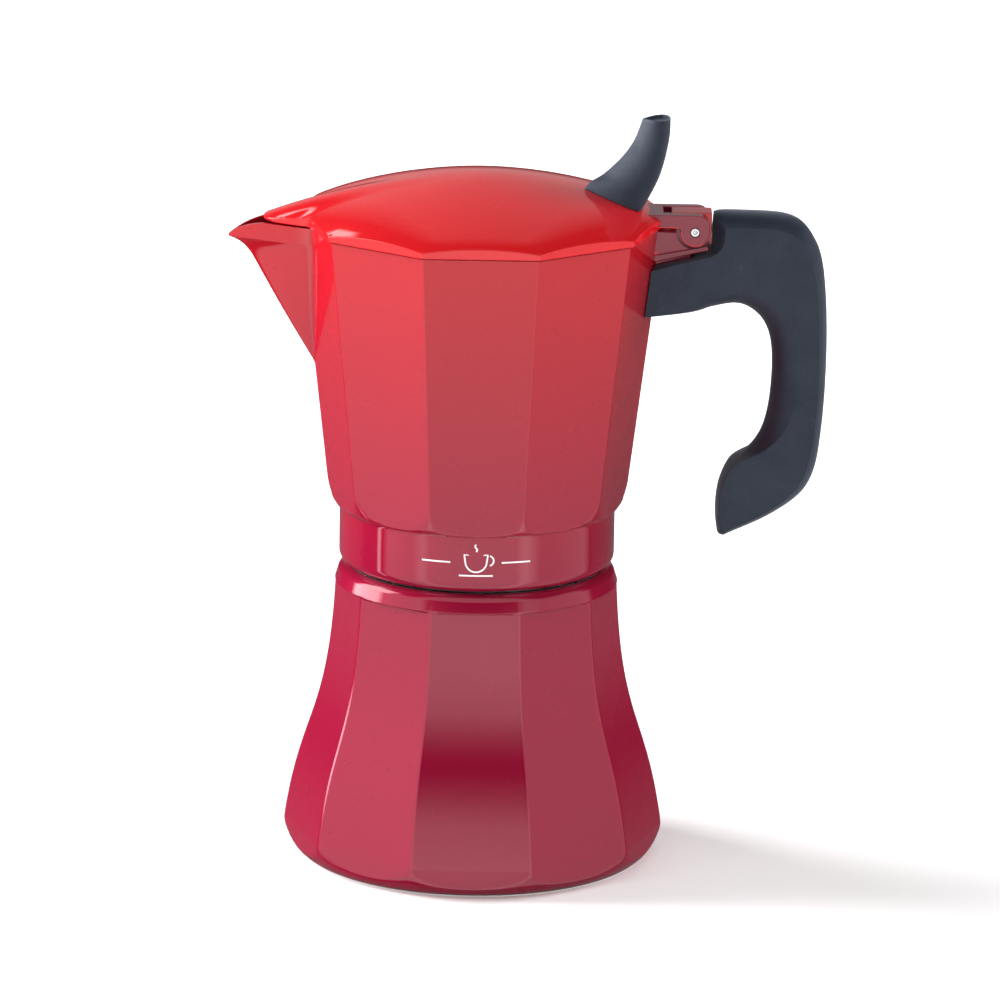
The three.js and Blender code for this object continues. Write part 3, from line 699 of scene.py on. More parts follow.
def rim_rows():
    edge = 0.4
    outer = corner_radius_at(RIM_Z)
    inner = outer - POT_WALL / FLAT_RATIO
    return [
        pot_row(RIM_Z - 0.12, outer - 0.12),
        pot_row(RIM_Z, outer - edge),
        pot_row(RIM_Z, inner + edge),
        pot_row(RIM_Z - edge, inner),
    ]


def pot_inside_rows():
    rows = []
    fillet = 4.0
    for z in np.linspace(RIM_Z - 2, POT_FLOOR + fillet, 10):
        rows.append(pot_row(z, corner_radius_at(z) - POT_WALL / FLAT_RATIO))
    low_corner = corner_radius_at(POT_FLOOR + fillet) - POT_WALL / FLAT_RATIO
    for turn in np.linspace(0, math.pi / 2, 8)[1:]:
        inset = fillet * (1 - math.cos(turn))
        rows.append(facet_row(POT_FLOOR + fillet * (1 - math.sin(turn)), low_corner - inset, None, 2.5))
    return rows + [round_row(POT_FLOOR, radius) for radius in (24, 12, 5.2)]


def collar_inside_rows():
    dome = [(4.5, POT_FLOOR - 0.5), (4.5, PLATE_SEAT + 3.6), (5.2, PLATE_SEAT + 3.1)]
    seat = [
        (25.6, PLATE_SEAT + 0.1), (26.2, PLATE_SEAT), (30.5, PLATE_SEAT), (30.5, PLATE_SEAT - 1.3),
        (COLLAR_BORE, PLATE_SEAT - 1.3), (COLLAR_BORE + 0.5, PLATE_SEAT - 1.8),
    ]
    thread = thread_rows(COLLAR_BOTTOM + 1.2, PLATE_SEAT - 2.2, COLLAR_BORE + 0.7, 0.7)
    lead_in = [(COLLAR_BORE + 0.2, COLLAR_BOTTOM + 0.6), (COLLAR_BORE + 0.8, COLLAR_BOTTOM)]
    return [*round_rows(dome + seat), *reversed(thread), *round_rows(lead_in)]


def collar_rows():
    """The collar's outside, with a rounded lower edge."""
    rounding = arc((COLLAR_RADIUS - 3, COLLAR_BOTTOM + 3.6), 3, -75, 0, 9)
    wall = [(COLLAR_RADIUS, 92), (COLLAR_RADIUS, POT_BOTTOM - 0.5)]
    return round_rows([(COLLAR_RADIUS - 2.7, COLLAR_BOTTOM + 0.5), *rounding, *wall])


KEEL = [
    (-44.8, SPOUT_ROOT_Z), (-48.3, 143.2), (-53.6, 152.1), (-58.6, 160.9), (-61.1, 165.4),
    (-62.9, 168.4), (-64.8, 170.5), (-66.8, 171.8), (SPOUT_TIP, 172.6),
]


def spout_solid(name, inset, lowest, top, reach):
    """The spout from its keel to behind the pot's wall, shrunk by the inset for its channel."""
    line = [point for point in spline(KEEL, 5) if point[1] >= lowest] + [(SPOUT_TIP, top)]
    shares = np.linspace(0, 0.95, 14) ** 2
    rows = []
    for keel_x, z in line:
        rise = (z - SPOUT_ROOT_Z) / (RIM_Z - SPOUT_ROOT_Z)
        half_width = max(SPOUT_HALF_WIDTH * rise - inset, 0.1)
        wall_x = -corner_radius_at(z) + half_width * math.tan(HALF_FACET)
        nose_x = min(keel_x + 1.5 * inset, wall_x - 0.05)
        side = [(nose_x + (wall_x - nose_x) * share, half_width * share**SPOUT_FULLNESS) for share in shares]
        root = [(wall_x + reach, half_width)]
        middle = [(-corner_radius_at(z) + reach, 0.0)]
        half = side + root
        mirrored = [(x, -y) for x, y in reversed(half[1:])]
        rows.append(at_height(np.array(half + middle + mirrored), z))
    return skin(name, rows)


def above_lip():
    """Everything above the curved lip of the spout."""
    curve = [(-54, RIM_Z + 0.2), (-60.5, RIM_Z + 0.3), (-65.5, 176.2), (SPOUT_TIP - 0.5, 172.9)]
    lip = [bezier(curve, share) for share in np.linspace(0, 1, 20)]
    outline = [(-54, RIM_Z + 6), *map(tuple, lip), (SPOUT_TIP - 3, 172.5), (SPOUT_TIP - 3, RIM_Z + 6)]
    return prism("above_lip", outline, -30, 30, 0)


def make_bracket(*tools):
    """The hinge bracket with its tongue and the lug that holds the handle, cut by the tools."""
    inside = BRACKET_FRONT
    top = RIM_Z - 0.1
    bracket = prism("bracket", [
        (inside, top), (61.9, top), (61.9, 172.8), (48.3, 170.2), (inside, 169.8),
    ], -BRACKET_HALF_WIDTH, BRACKET_HALF_WIDTH, 1.1)
    skirt = prism("skirt", [
        (inside - 1, 171), (61.4, 173.4), (62.1, 171.6), (48.3, 168.4), (inside - 1, 167.9),
    ], -5, 5, 0.5)
    tongue = prism("tongue", [
        (PIN_X - 6.5, EAR_TOP), (62.5, EAR_TOP), (62.5, 173), (inside + 1, 170.6), (inside + 1, top - 0.4),
        (PIN_X - 6.5, top - 0.4),
    ], -TONGUE_HALF_WIDTH, TONGUE_HALF_WIDTH, 0.5)
    lug = prism("lug", rectangle(43.7, LUG_END, LUG_BOTTOM, 171.5), -LUG_HALF_WIDTH, LUG_HALF_WIDTH, 0.4)
    combine(bracket, "UNION", skirt, tongue, lug)
    inner_corner = POT_WALL / 2
    core = skin("core", [facet_row(z, corner_radius_at(z) - inner_corner, None, 0.5) for z in (150, 190)])
    return combine(bracket, "DIFFERENCE", core, *tools)


def pin_hole():
    return hole("pin_hole", PIN_HOLE, -12, 12, 32, along_y(PIN_X, PIN_Z))


def make_collector():
    rows = collar_rows() + pot_rows() + rim_rows() + pot_inside_rows() + collar_inside_rows()
    piece = skin("collector_pot", rows, joined=True)
    near, far = TONGUE_HALF_WIDTH + 0.1, 14
    pockets = [
        hole("pocket", EAR_RADIUS + 1.1, low, high, 64, along_y(PIN_X, PIN_Z))
        for low, high in ((-far, -near), (near, far))
    ]
    screw_hole = hole("screw_hole", 2.3, 150, 170.2, 32, at_screw())
    combine(piece, "UNION", make_bracket(*pockets, pin_hole(), screw_hole))
    spout = spout_solid("spout", 0, SPOUT_ROOT_Z, RIM_Z - 0.15, 1.1)
    combine(piece, "UNION", combine(spout, "DIFFERENCE", above_lip()))
    channel_foot = SPOUT_ROOT_Z + (SPOUT_WALL + 0.8) / SPOUT_HALF_WIDTH * (RIM_Z - SPOUT_ROOT_Z)
    channel = spout_solid("channel", SPOUT_WALL, channel_foot, RIM_Z + SPOUT_WALL, 6)
    combine(piece, "DIFFERENCE", channel)

    def pick(centre, normal):
        radial = math.hypot(centre.x, centre.y)
        facing = normal.x * centre.x + normal.y * centre.y
        angle = math.atan2(centre.y, centre.x) % (2 * HALF_FACET) - HALF_FACET
        inner_wall = (corner_radius_at(centre.z) * FLAT_RATIO - 1.2) / math.cos(angle)
        if centre.z > COLLAR_BOTTOM + 0.1 and radial < inner_wall and centre.x < 44 and facing < 0.5 * radial:
            return 1
        if centre.z < POT_FLOOR and radial < COLLAR_RADIUS - 3.2:
            return 1
        if centre.x > 48.2 and abs(centre.y) < 7.6 and centre.z < RIM_Z - 0.2:
            return 2
        return 0

    return finish_piece(
        piece, "collector", "red_lacquer", [POT_RED, ALUMINIUM, CAST_RED], pick, nodes=["collector"]
    )


# ---------- lid ----------

DOME = [(0, LID_APEX), (16, LID_APEX), (41.6, 184.7), (50.45, 179.65)]
DOME_TABLE = np.array([bezier(DOME, share) for share in np.linspace(0, 1, 200)])
DOME_END_SLOPE = (DOME[3][1] - DOME[2][1]) / (DOME[3][0] - DOME[2][0])


def dome_height(radius):
    inside = np.interp(radius, DOME_TABLE[:, 0], DOME_TABLE[:, 1])
    beyond = np.maximum(radius - DOME_TABLE[-1, 0], 0)
    return inside + DOME_END_SLOPE * beyond


def lid_height(x, y):
    """The dome with the beak's arched ridge growing out of it towards the spout."""
    run = x - BEAK_TIP
    ridge = BEAK_TOP + BEAK_RISE * run - BEAK_SAG * run**2
    arched = ridge - y**2 / BEAK_ARCH
    return smooth_max(dome_height(np.hypot(x, y)), np.where(run < BEAK_REACH, arched, 0), 0.9)


def lid_angles():
    """Directions round the lid, closer together at the corners and over the beak."""
    fine = np.radians([-0.75, -0.45, -0.2, 0, 0.2, 0.45, 0.75])
    corner_angles = [2 * HALF_FACET * corner + fine for corner in range(FACETS)]
    between = [
        2 * HALF_FACET * corner + np.radians(np.linspace(1.5, 34.5, 17)) for corner in range(FACETS)
    ]
    beak = math.pi + np.radians(np.linspace(-15, 15, 61))
    every = np.sort(np.concatenate([*corner_angles, *between, beak]) % (2 * math.pi))
    keep = np.concatenate([[True], np.diff(every) > math.radians(0.08)])
    return every[keep]


def decagon_radius(angles, inradius, rounding):
    """Distance from the axis to a rounded decagon in the given directions."""
    from_middle = np.mod(angles, 2 * HALF_FACET) - HALF_FACET
    flat = inradius / np.cos(from_middle)
    centre = (inradius - rounding) / FLAT_RATIO
    off = np.abs(from_middle) - HALF_FACET
    inside = np.maximum(rounding**2 - (centre * np.sin(off)) ** 2, 0)
    curved = centre * np.cos(off) + np.sqrt(inside)
    limit = math.atan((1 - rounding / inradius) * math.tan(HALF_FACET))
    return np.where(np.abs(from_middle) > limit, curved, flat)


def beak_radius(angles, inset):
    """Distance from the axis to the beak's plan outline: a round end with straight flaring sides."""
    end_radius = BEAK_END_RADIUS - inset
    centre_x = BEAK_TIP + BEAK_END_RADIUS
    root = np.array([-LID_RADIUS + 3.8, BEAK_ROOT_HALF_WIDTH - inset])
    gap = root - np.array([centre_x, 0])
    distance = np.linalg.norm(gap)
    swing = math.atan2(gap[1], gap[0]) + math.acos(end_radius / distance)
    turns = np.linspace(math.pi, swing, 24)
    outline = [(centre_x + end_radius * math.cos(turn), end_radius * math.sin(turn)) for turn in turns]
    outline += [tuple(root), (root[0] + 8, root[1] * 0.9)]
    line = np.array(outline)
    bearing = np.abs(np.arctan2(line[:, 1], -line[:, 0]))
    reach = np.hypot(line[:, 0], line[:, 1])
    wanted = np.abs(np.mod(angles, 2 * math.pi) - math.pi)
    return np.where(wanted < bearing[-1], np.interp(wanted, bearing, reach), 0)


def lid_outline(angles, inset=0.0):
    decagon = decagon_radius(angles, LID_RADIUS * FLAT_RATIO - inset, 1.0)
    return smooth_max(decagon, beak_radius(angles, inset), 0.3)


def lid_row(angles, radius, height):
    x, y = radius * np.cos(angles), radius * np.sin(angles)
    z = height(x, y) if callable(height) else np.full(len(angles), float(height))
    return np.column_stack([x, y, z])


def lid_rows():
    angles = lid_angles()
    outline = lid_outline(angles)
    inner = lid_outline(angles, LID_WALL + 0.6)
    edge = 0.45
    rows = []
    for share in [0.01, 0.04, *np.linspace(0.1, 0.9, 26), 0.93, 0.96, 0.98]:
        rows.append(lid_row(angles, share * (outline - edge), lid_height))
    top = lid_row(angles, outline - edge, lid_height)
    rows.append(top)
    for turn in (22.5, 45, 67.5, 90):
        inset = edge * (1 - math.sin(math.radians(turn)))
        row = lid_row(angles, outline - inset, 0)
        row[:, 2] = top[:, 2] - edge * (1 - math.cos(math.radians(turn)))
        rows.append(row)
    rows.append(lid_row(angles, outline, LID_BOTTOM + 0.25))
    rows.append(lid_row(angles, outline - 0.25, LID_BOTTOM))
    rows.append(lid_row(angles, inner + 0.3, LID_BOTTOM))
    rows.append(lid_row(angles, inner, LID_BOTTOM + 0.3))
    for share in [1, 0.97, 0.93, *np.linspace(0.9, 0.1, 12), 0.02]:
        row = lid_row(angles, share * inner, lid_height)
        row[:, 2] = np.maximum(row[:, 2] - LID_WALL, LID_BOTTOM + 0.45)
        rows.append(row)
    return rows


def ear_outline():
    corner = 3.2
    return [
        (BRIDGE_FRONT, LID_BOTTOM + 0.4), (PIN_X - 4.4, LID_BOTTOM + 0.3),
        *arc((PIN_X, PIN_Z), EAR_RADIUS, 172, 360, 28),
        *arc((PIN_X + EAR_RADIUS - corner, EAR_TOP - corner), corner, 15, 90, 8),
        (BRIDGE_FRONT, EAR_TOP),
    ]


def make_lid():
    piece = skin("lid_shell", lid_rows())
    reach = EAR_OUTER - 0.01
    outline = rectangle(BRIDGE_FRONT, BRIDGE_BACK, LID_BOTTOM + 0.4, EAR_TOP)
    bridge = prism("bridge", outline, -reach, reach, 0.35)
    ears = [
        prism("ear", ear_outline(), low, high, 0.45)
        for low, high in ((-EAR_OUTER, -EAR_INNER), (EAR_INNER, EAR_OUTER))
    ]
    combine(piece, "UNION", bridge, *ears)
    screw_hole = hole("screw_hole", 2.1, -8, 8, 32, on_knob_axis())
    slot = prism("slot", rectangle(BRIDGE_BACK, 66, LID_BOTTOM - 3, 190), -EAR_INNER, EAR_INNER, 0)
    combine(piece, "DIFFERENCE", slot, pin_hole(), screw_hole)

    def pick(centre, normal):
        if normal.z < -0.2 and centre.x < 44 and centre.z > LID_BOTTOM + 0.2:
            return 1
        above_dome = centre.z > dome_height(math.hypot(centre.x, centre.y)) + 0.03
        on_bridge = abs(centre.y) < EAR_OUTER + 0.02 and centre.x > BRIDGE_FRONT - 0.5
        return 2 if above_dome and on_bridge else 0

    return finish_piece(piece, "lid", "red_lacquer", [LID_RED, ALUMINIUM, CAST_RED], pick, nodes=["lid"])


# ---------- knob ----------

KNOB_FRONT = [
    (24, 180), (28.3, 188.3), (32.6, 191.4), (37.4, 196), (40.6, 200.5), (42.4, 204.9), (43.2, 207.4),
]
KNOB_BACK = [(42.4, 180), (47.3, 189.5), (48.9, 193.9), (50.1, 199), (50.7, 203), (50.8, 207.6)]
KNOB_WIDTH = [(8.9, 180), (7.6, 189), (6.8, 194), (6.0, 199), (5.4, 203), (4.7, 207.6)]
KNOB_STRIP_WIDTH = 2.2
KNOB_FULLNESS = 0.92
KNOB_SIDE_STEPS = 14
KNOB_STRIP_STEPS = 8


def knob_section(z):
    """The front edge, back edge and half width of the horn at a height."""
    def at(line):
        points = spaced(spline(line, 8), 90)
        return float(np.interp(z, points[:, 1], points[:, 0]))
    return at(KNOB_FRONT), at(KNOB_BACK), at(KNOB_WIDTH)


def knob_profile(front, back, half_width):
    """A leaf with its point to the front, a crease down each side and a crowned strip at the back."""
    crease = back - min(KNOB_STRIP_WIDTH, 0.3 * (back - front))
    side = []
    for share in np.linspace(0, 1, KNOB_SIDE_STEPS):
        fullness = math.sin(share * math.pi / 2) ** KNOB_FULLNESS
        side.append((front + (crease - front) * share, half_width * fullness))
    turns = np.linspace(0, math.pi / 2, KNOB_STRIP_STEPS)[1:]
    strip = [(crease + (back - crease) * math.sin(turn), half_width * math.cos(turn)) for turn in turns]
    half = side + strip
    mirrored = [(x, -y) for x, y in reversed(half[1:-1])]
    return np.array(half + mirrored)


def knob_dish(rim):
    """Rows of the dished recess in the horn's level top, inside its rim."""
    front, back = rim[0], rim[KNOB_SIDE_STEPS + KNOB_STRIP_STEPS - 2]
    middle = (front + back) / 2
    rows = []
    for share, depth in ((0.86, 0.0), (0.78, 0.55), (0.6, 0.85), (0.4, 0.95), (0.2, 1.0), (0.05, 1.0)):
        row = middle + (rim - middle) * share
        row[:, 2] = rim[:, 2] * share + middle[2] * (1 - share) - KNOB_DISH * depth
        rows.append(row)
    return rows


def make_knob():
    levels = np.linspace(KNOB_FOOT_Z, KNOB_TOP + 0.4, 40)
    columns = np.array([at_height(knob_profile(*knob_section(z)), z) for z in levels])
    shares = np.linspace(0, 1, 34)
    rows = [[] for _ in shares]
    for column in range(columns.shape[1]):
        line = columns[:, column]
        above = line[:, 2] - dome_height(np.hypot(line[:, 0], line[:, 1])) - 0.05
        start = np.interp(0, above, line[:, 2])
        lean = (line[-1, 0] - columns[-1, 0, 0]) / (columns[-1, :, 0].max() - columns[-1, 0, 0])
        end = KNOB_TOP + 0.3 * lean
        for row, share in zip(rows, shares):
            z = start + (end - start) * share
            row.append((np.interp(z, line[:, 2], line[:, 0]), np.interp(z, line[:, 2], line[:, 1]), z))
    rows = [np.array(row) for row in rows]
    piece = skin("knob_horn", rows + knob_dish(rows[-1]))
    soften(piece, 0.4, 3, 35)
    insert_hole = hole("insert_hole", 2.9, -6, 9.5, 48, on_knob_axis())
    combine(piece, "DIFFERENCE", insert_hole)
    return finish_piece(piece, "lid", "black_plastic", [BLACK], sharp=40, nodes=["knob"])


# ---------- handle ----------

def handle_loops():
    """Matching stretches of the handle's outline: at its middle plane and on its side face."""
    top = HANDLE_TOP
    arm_top = (
        [(42, 166.6), (47, 167.2), (57, 169.4), (61.2, 170.2)],
        [(42, 165.2), (47, 166.5), (57, 169.2), (62.0, 170.4)],
    )
    notch = (
        [(61.2, 170.2), (62.4, 171.6), (62.6, 174), (62.6, 177.8), (62.9, top - 0.5)],
        [(62.0, 170.4), (64.1, 171.6), (65.5, 173.3), (66.1, 175.8), (66.2, 178.2)],
    )
    crown = (
        [(62.9, top - 0.5), (65, top), (72, top), (80, top - 0.3), (84.4, top - 1.25), (87.4, 178.9),
         (90, 175.6), (92.2, 171), (93.4, 165.5)],
        [(66.2, 178.2), (67, 178.6), (72, 178.7), (78.5, 178.5), (82.5, 177.75), (85.6, 176.3), (88, 173.9),
         (89.8, 170), (91, 165.2)],
    )
    back = (
        [(93.4, 165.5), (94.2, 157), (94.6, 145.6), (94.4, 133), (93.7, 122), (92.4, 112), (90.2, 106),
         (86.8, 102), (81.6, 98.3), (76.5, 95.5), (68.4, 91.8)],
        [(91, 165.2), (91.9, 157), (92.4, 145.6), (92.3, 133), (91.6, 122.5), (90.1, 113), (87.8, 107.2),
         (84.6, 103.4), (80.2, 100), (75.8, 97.4), (69, 94.2)],
    )
    tip = (
        [(68.4, 91.8), (67.2, 91.3), (66.0, 91.7), (65.6, 92.8)],
        [(69, 94.2), (68, 93.6), (67.2, 93.8), (66.8, 94.8)],
    )
    grip = (
        [(65.6, 92.8), (65.1, 97), (65.2, 102), (66.2, 107), (68.7, 111.4), (73.2, 115.2), (76.9, 120.6),
         (78.9, 128), (79.7, 138), (79.2, 146), (77.2, 151.4), (73.6, 155), (69.3, 156.4), (63, 155.4),
         (57.1, 153.9), (42, 152.2)],
        [(66.8, 94.8), (66.2, 98), (66.3, 102.6), (67.3, 107.4), (69.8, 112), (78.2, 116.7), (83.5, 122.4),
         (86.6, 130.9), (88.3, 139.5), (88.4, 148), (84.6, 153.6), (78.4, 158.2), (70.4, 160.6),
         (62.8, 158.2), (57.1, 155.3), (42, 153.0)],
    )
    counts = (12, 16, 40, 72, 8, 90)
    return [(*pair, count) for pair, count in zip((arm_top, notch, crown, back, tip, grip), counts)]


def handle_outlines():
    middle, side = [], []
    for inner, outer, count in handle_loops():
        pair = np.hstack([np.array(inner, float), np.array(outer, float)])
        line = spaced(spline([tuple(point) for point in pair], 8), count)
        middle += [tuple(point[:2]) for point in line[:-1]]
        side += [tuple(point[2:]) for point in line[:-1]]
    last_inner, last_outer, _ = handle_loops()[-1]
    return np.array(middle + [last_inner[-1]]), np.array(side + [last_outer[-1]])


def make_handle():
    middle, side = handle_outlines()
    levels = []
    for turn in np.linspace(0, CROWN_TURN, 9):
        share = (1 - math.cos(turn)) / (1 - math.cos(CROWN_TURN))
        depth = HANDLE_HALF_WIDTH * math.sin(turn) / math.sin(CROWN_TURN)
        levels.append((middle + (side - middle) * share, depth))
    # The row at the middle plane is shared by both halves.
    both = [(outline, -depth) for outline, depth in reversed(levels[1:])] + levels
    rows = [at_height(outline, depth)[:, [0, 2, 1]] for outline, depth in both]
    piece = skin("handle_grip", rows)
    soften(piece, 0.35, 2, 25)
    clear = [
        facet_row(z, corner_radius_at(z) + CLEARANCE / FLAT_RATIO, None, 0.4)
        for z in np.linspace(POT_BOTTOM + 20, RIM_Z + 6, 4)
    ]
    pot_room = skin("pot_room", clear)
    lug_end = LUG_END + CLEARANCE
    lug_floor = LUG_BOTTOM - CLEARANCE
    lug_room = prism("lug_room", [
        (38, lug_floor), (lug_end, lug_floor), (lug_end, 168.3), (62.4, 171.2), (62.4, 186), (38, 186),
    ], -LUG_HALF_WIDTH - CLEARANCE, LUG_HALF_WIDTH + CLEARANCE, 0)
    bracket_room = prism("bracket_room", [
        (37, 169.2), (48.3, 167.9), (62.3, 171.2), (62.3, 187), (37, 187),
    ], -BRACKET_HALF_WIDTH - CLEARANCE, BRACKET_HALF_WIDTH + CLEARANCE, 0)
    counterbore = hole("counterbore", 4.5, 140, 158.5, 64, at_screw())
    shaft_hole = hole("shaft_hole", 2.4, 141, 172, 48, at_screw())
    combine(piece, "DIFFERENCE", pot_room, lug_room, bracket_room, counterbore, shaft_hole)
    return finish_piece(piece, "collector", "black_plastic", [BLACK], sharp=24, nodes=["handle"])


# ---------- small pieces ----------

PLATE_SIDES = 96
HOLE_SIDES = 14
WELD = 0.00001
SLOT_HALF_WIDTH = 0.45


def merge(name, pieces):
    """Several solids as one object."""
    whole = bmesh.new()
    for piece in pieces:
        whole.from_mesh(piece.data)
        bpy.data.objects.remove(piece)
    mesh = bpy.data.meshes.new(name)
    whole.to_mesh(mesh)
    whole.free()
    return new_object(name, mesh)


def ring_of(curve, centre_x, centre_y, radius, sides):
    ring = curve.splines.new("POLY")
    ring.points.add(sides - 1)
    ring.use_cyclic_u = True
    for step, point in enumerate(ring.points):
        turn = 2 * math.pi * step / sides
        point.co = (centre_x + radius * math.cos(turn), centre_y + radius * math.sin(turn), 0, 1)


def perforated(name, radius, low, high, hole_radius, rings, spacing, edge=0.12):
    """A sheet with rings of round holes, six more in each ring than in the one inside it."""
    curve = bpy.data.curves.new(name, "CURVE")
    curve.dimensions = "2D"
    curve.fill_mode = "BOTH"
    curve.extrude = (high - low) / 2 - edge
    curve.bevel_depth = edge
    curve.bevel_resolution = 1
    curve.offset = -edge
    ring_of(curve, 0, 0, radius, PLATE_SIDES)
    ring_of(curve, 0, 0, hole_radius, HOLE_SIDES)
    for ring in range(1, rings + 1):
        for step in range(6 * ring):
            turn = 2 * math.pi * step / (6 * ring)
            reach = ring * spacing
            ring_of(curve, reach * math.cos(turn), reach * math.sin(turn), hole_radius, HOLE_SIDES)
    holder = new_object(name + "_curve", curve)
    graph = bpy.context.evaluated_depsgraph_get()
    mesh = bpy.data.meshes.new_from_object(holder.evaluated_get(graph))
    bpy.data.objects.remove(holder)
    mesh.transform(Matrix.Diagonal((MM, MM, MM, 1)) @ Matrix.Translation((0, 0, (low + high) / 2)))
    joined = bmesh.new()
    joined.from_mesh(mesh)
    bmesh.ops.remove_doubles(joined, verts=joined.verts, dist=WELD)
    joined.to_mesh(mesh)
    joined.free()
    return new_object(name, mesh)


def fit(piece, body, slot, node):
    """Finishes a piece in its slot's plain material, in place of one CAD node."""
    finish_piece(piece, body, slot, [PLAIN_FINISH[slot]], nodes=[node])


def make_induction_disc():
    high = corners("induction_disc")[1]
    underside = [(0, 0.0)]
    for radius in range(9, 38, 7):
        underside += [(radius, 0.0), (radius + 0.3, 0.3), (radius + 0.9, 0.3), (radius + 1.2, 0.0)]
    outline = [*underside, (high.y, 0.0), (high.y, high.z), (0, high.z)]
    fit(turned("base_disc", outline, 128), "base", "steel", "induction_disc")


def make_valve():
    place = on_valve_axis()
    low, high = corners("valve_gasket")
    seat_end = high.y + CLEARANCE
    shoulder = seat_end + 2.3
    valve = turned("valve", [
        (2.9, valve_low.y), (4, valve_low.y), (4, seat_end + 1), (3.6, seat_end + 1), (3.6, valve_high.y),
        (1.4, valve_high.y), (1.4, shoulder), (2.9, shoulder),
    ], 64, 0.3, place)
    hexagon = turned("hexagon", rectangle(3.5, 6.3, seat_end, seat_end + 4), 6, 0.4, place)
    fit(combine(valve, "UNION", hexagon), "base", "brass", "valve_body")

    outline = rectangle(VALVE_BORE, (high.x - low.x) / 2, low.y, high.y)
    fit(turned("valve_washer", outline, 64, 0.25, place), "base", "silicone", "valve_gasket")

    low, high = corners("valve_pin")
    head = (high.x - low.x) / 2
    stem = 1.1
    pin = turned("valve_plunger", [
        (0, low.y), (head, low.y), (head, low.y + 1), (stem, low.y + 1), (stem, high.y, 0.6), (0, high.y),
    ], 48, 0.2, place)
    fit(pin, "valve_pin", "steel", "valve_pin")


def make_brewing_pieces():
    low, high = corners("funnel")
    flange_bottom = high.z - 0.9
    basket = turned("funnel_pressing", [
        (high.y, high.z), (high.y, flange_bottom), (28.2, flange_bottom, 0.6), (28.2, 73, 1.5),
        (4.6, 57, 1.5), (4.6, low.z), (3.7, low.z), (3.7, 57, 1.5), (24.5, 72), (24.5, 74), (27.3, 74),
        (27.3, high.z, 0.8),
    ], 128, 0.3)
    fit(basket, "funnel", "bare_aluminium", "funnel")

    plates = (
        ("basket_plate", "funnel", "funnel_plate", 0.75, 9, 2.75),
        ("filter_disc", "filter_plate", "filter_plate", 0.6, 11, 2.2),
    )
    for name, body, node, hole_radius, rings, spacing in plates:
        low, high = corners(node)
        plate = perforated(name, high.y, low.z, high.z, hole_radius, rings, spacing)
        fit(plate, body, "bare_aluminium", node)

    low, high = corners("gasket")
    middle = (high.z + low.z) / 2
    groove = 0.3
    outside = [
        (high.y, low.z), (high.y, middle - 0.5), (high.y - groove, middle - 0.2),
        (high.y - groove, middle + 0.2), (high.y, middle + 0.5), (high.y, high.z),
    ]
    top = [(29.5, high.z), (29.2, high.z - groove), (27.8, high.z - groove), (27.5, high.z)]
    seal = turned("sealing_ring", [(24.5, low.z), *outside, *top, (24.5, high.z)], 128, 0.3)
    fit(seal, "gasket", "silicone", "gasket")

    low, high = corners("riser_column")
    tube = turned("riser", [
        (0, high.z), (2.6, high.z - 0.6, 0.8), (4.1, high.z - 2.6, 0.8), (5.2, POT_FLOOR + 6, 4),
        (7.5, POT_FLOOR + 2), (7.5, POT_FLOOR + 0.3), (4.2, POT_FLOOR + 0.3), (4.2, low.z), (2.4, low.z),
        (2.4, high.z - 4), (0, high.z - 4),
    ], 64)
    combine(tube, "DIFFERENCE", prism("ports", rectangle(-2, 2, high.z - 8.5, high.z - 4.5), -9, 9, 0))
    fit(tube, "collector", "bare_aluminium", "riser_column")


def make_handle_fixings():
    """The screw with its crossed slot, and its washer."""
    low, top = screw_low.z, screw_high.z
    shank = 2
    head = 3.9
    bolt = turned("handle_bolt", [
        (0, low), (head, low), (head, low + 2.2), (shank, low + 2.2), (shank, top), (0, top),
    ], 64, 0.3, at_screw())
    slots = [
        prism("slot", rectangle(SCREW_X - run, SCREW_X + run, low - 1, low + 1.1), -aside, aside, 0)
        for run, aside in ((2.2, SLOT_HALF_WIDTH), (SLOT_HALF_WIDTH, 2.2))
    ]
    fit(combine(bolt, "DIFFERENCE", *slots), "collector", "steel", "handle_screw")
    low, high = corners("handle_washer")
    outline = rectangle(2.4, (high.y - low.y) / 2, low.z, high.z)
    fit(turned("handle_bolt_washer", outline, 96, 0.2, at_screw()), "collector", "steel", "handle_washer")


def make_hinge_rivet():
    end = pin_high.y
    dimple = [(0, -end + 0.35), (0.35, -end + 0.3), (0.62, -end), (1.15, -end)]
    outline = dimple + [(radius, -y) for radius, y in reversed(dimple)]
    fit(turned("hinge_rivet", outline, 48, 0.15, along_y(PIN_X, PIN_Z)), "collector", "steel", "hinge_pin")


def make_knob_fixings():
    """The screw, its washer and the threaded bush moulded into the knob."""
    shank = KNOB_SCREW_RADIUS
    outline = [(0, -4.9), (3.3, -4.9), (3.3, -3.4), (shank, -3.4), (shank, 8.5), (0, 8.5)]
    screw = turned("knob_bolt", outline, 64, 0.3)
    slot = prism("slot", rectangle(-4, 4, -6, -4.2), -SLOT_HALF_WIDTH, SLOT_HALF_WIDTH, 0)
    combine(screw, "DIFFERENCE", slot)
    screw.data.transform(on_knob_axis())
    fit(screw, "lid", "steel", "knob_screw")
    rings = (
        ("knob_bolt_washer", "steel", "knob_washer", rectangle(2.1, 4, -3.1, -2.5)),
        ("knob_bush", "brass", "knob_insert", rectangle(2, 2.6, 1.4, 9)),
    )
    for name, slot_name, node, outline in rings:
        fit(turned(name, outline, 64, 0.15, on_knob_axis()), "lid", slot_name, node)


# ---------- mark on the collar ----------

MARK_Z = 91.6
LINE_WIDTH = 0.42
LINE_RISE = 0.05
LINE_DEPTH = 0.1


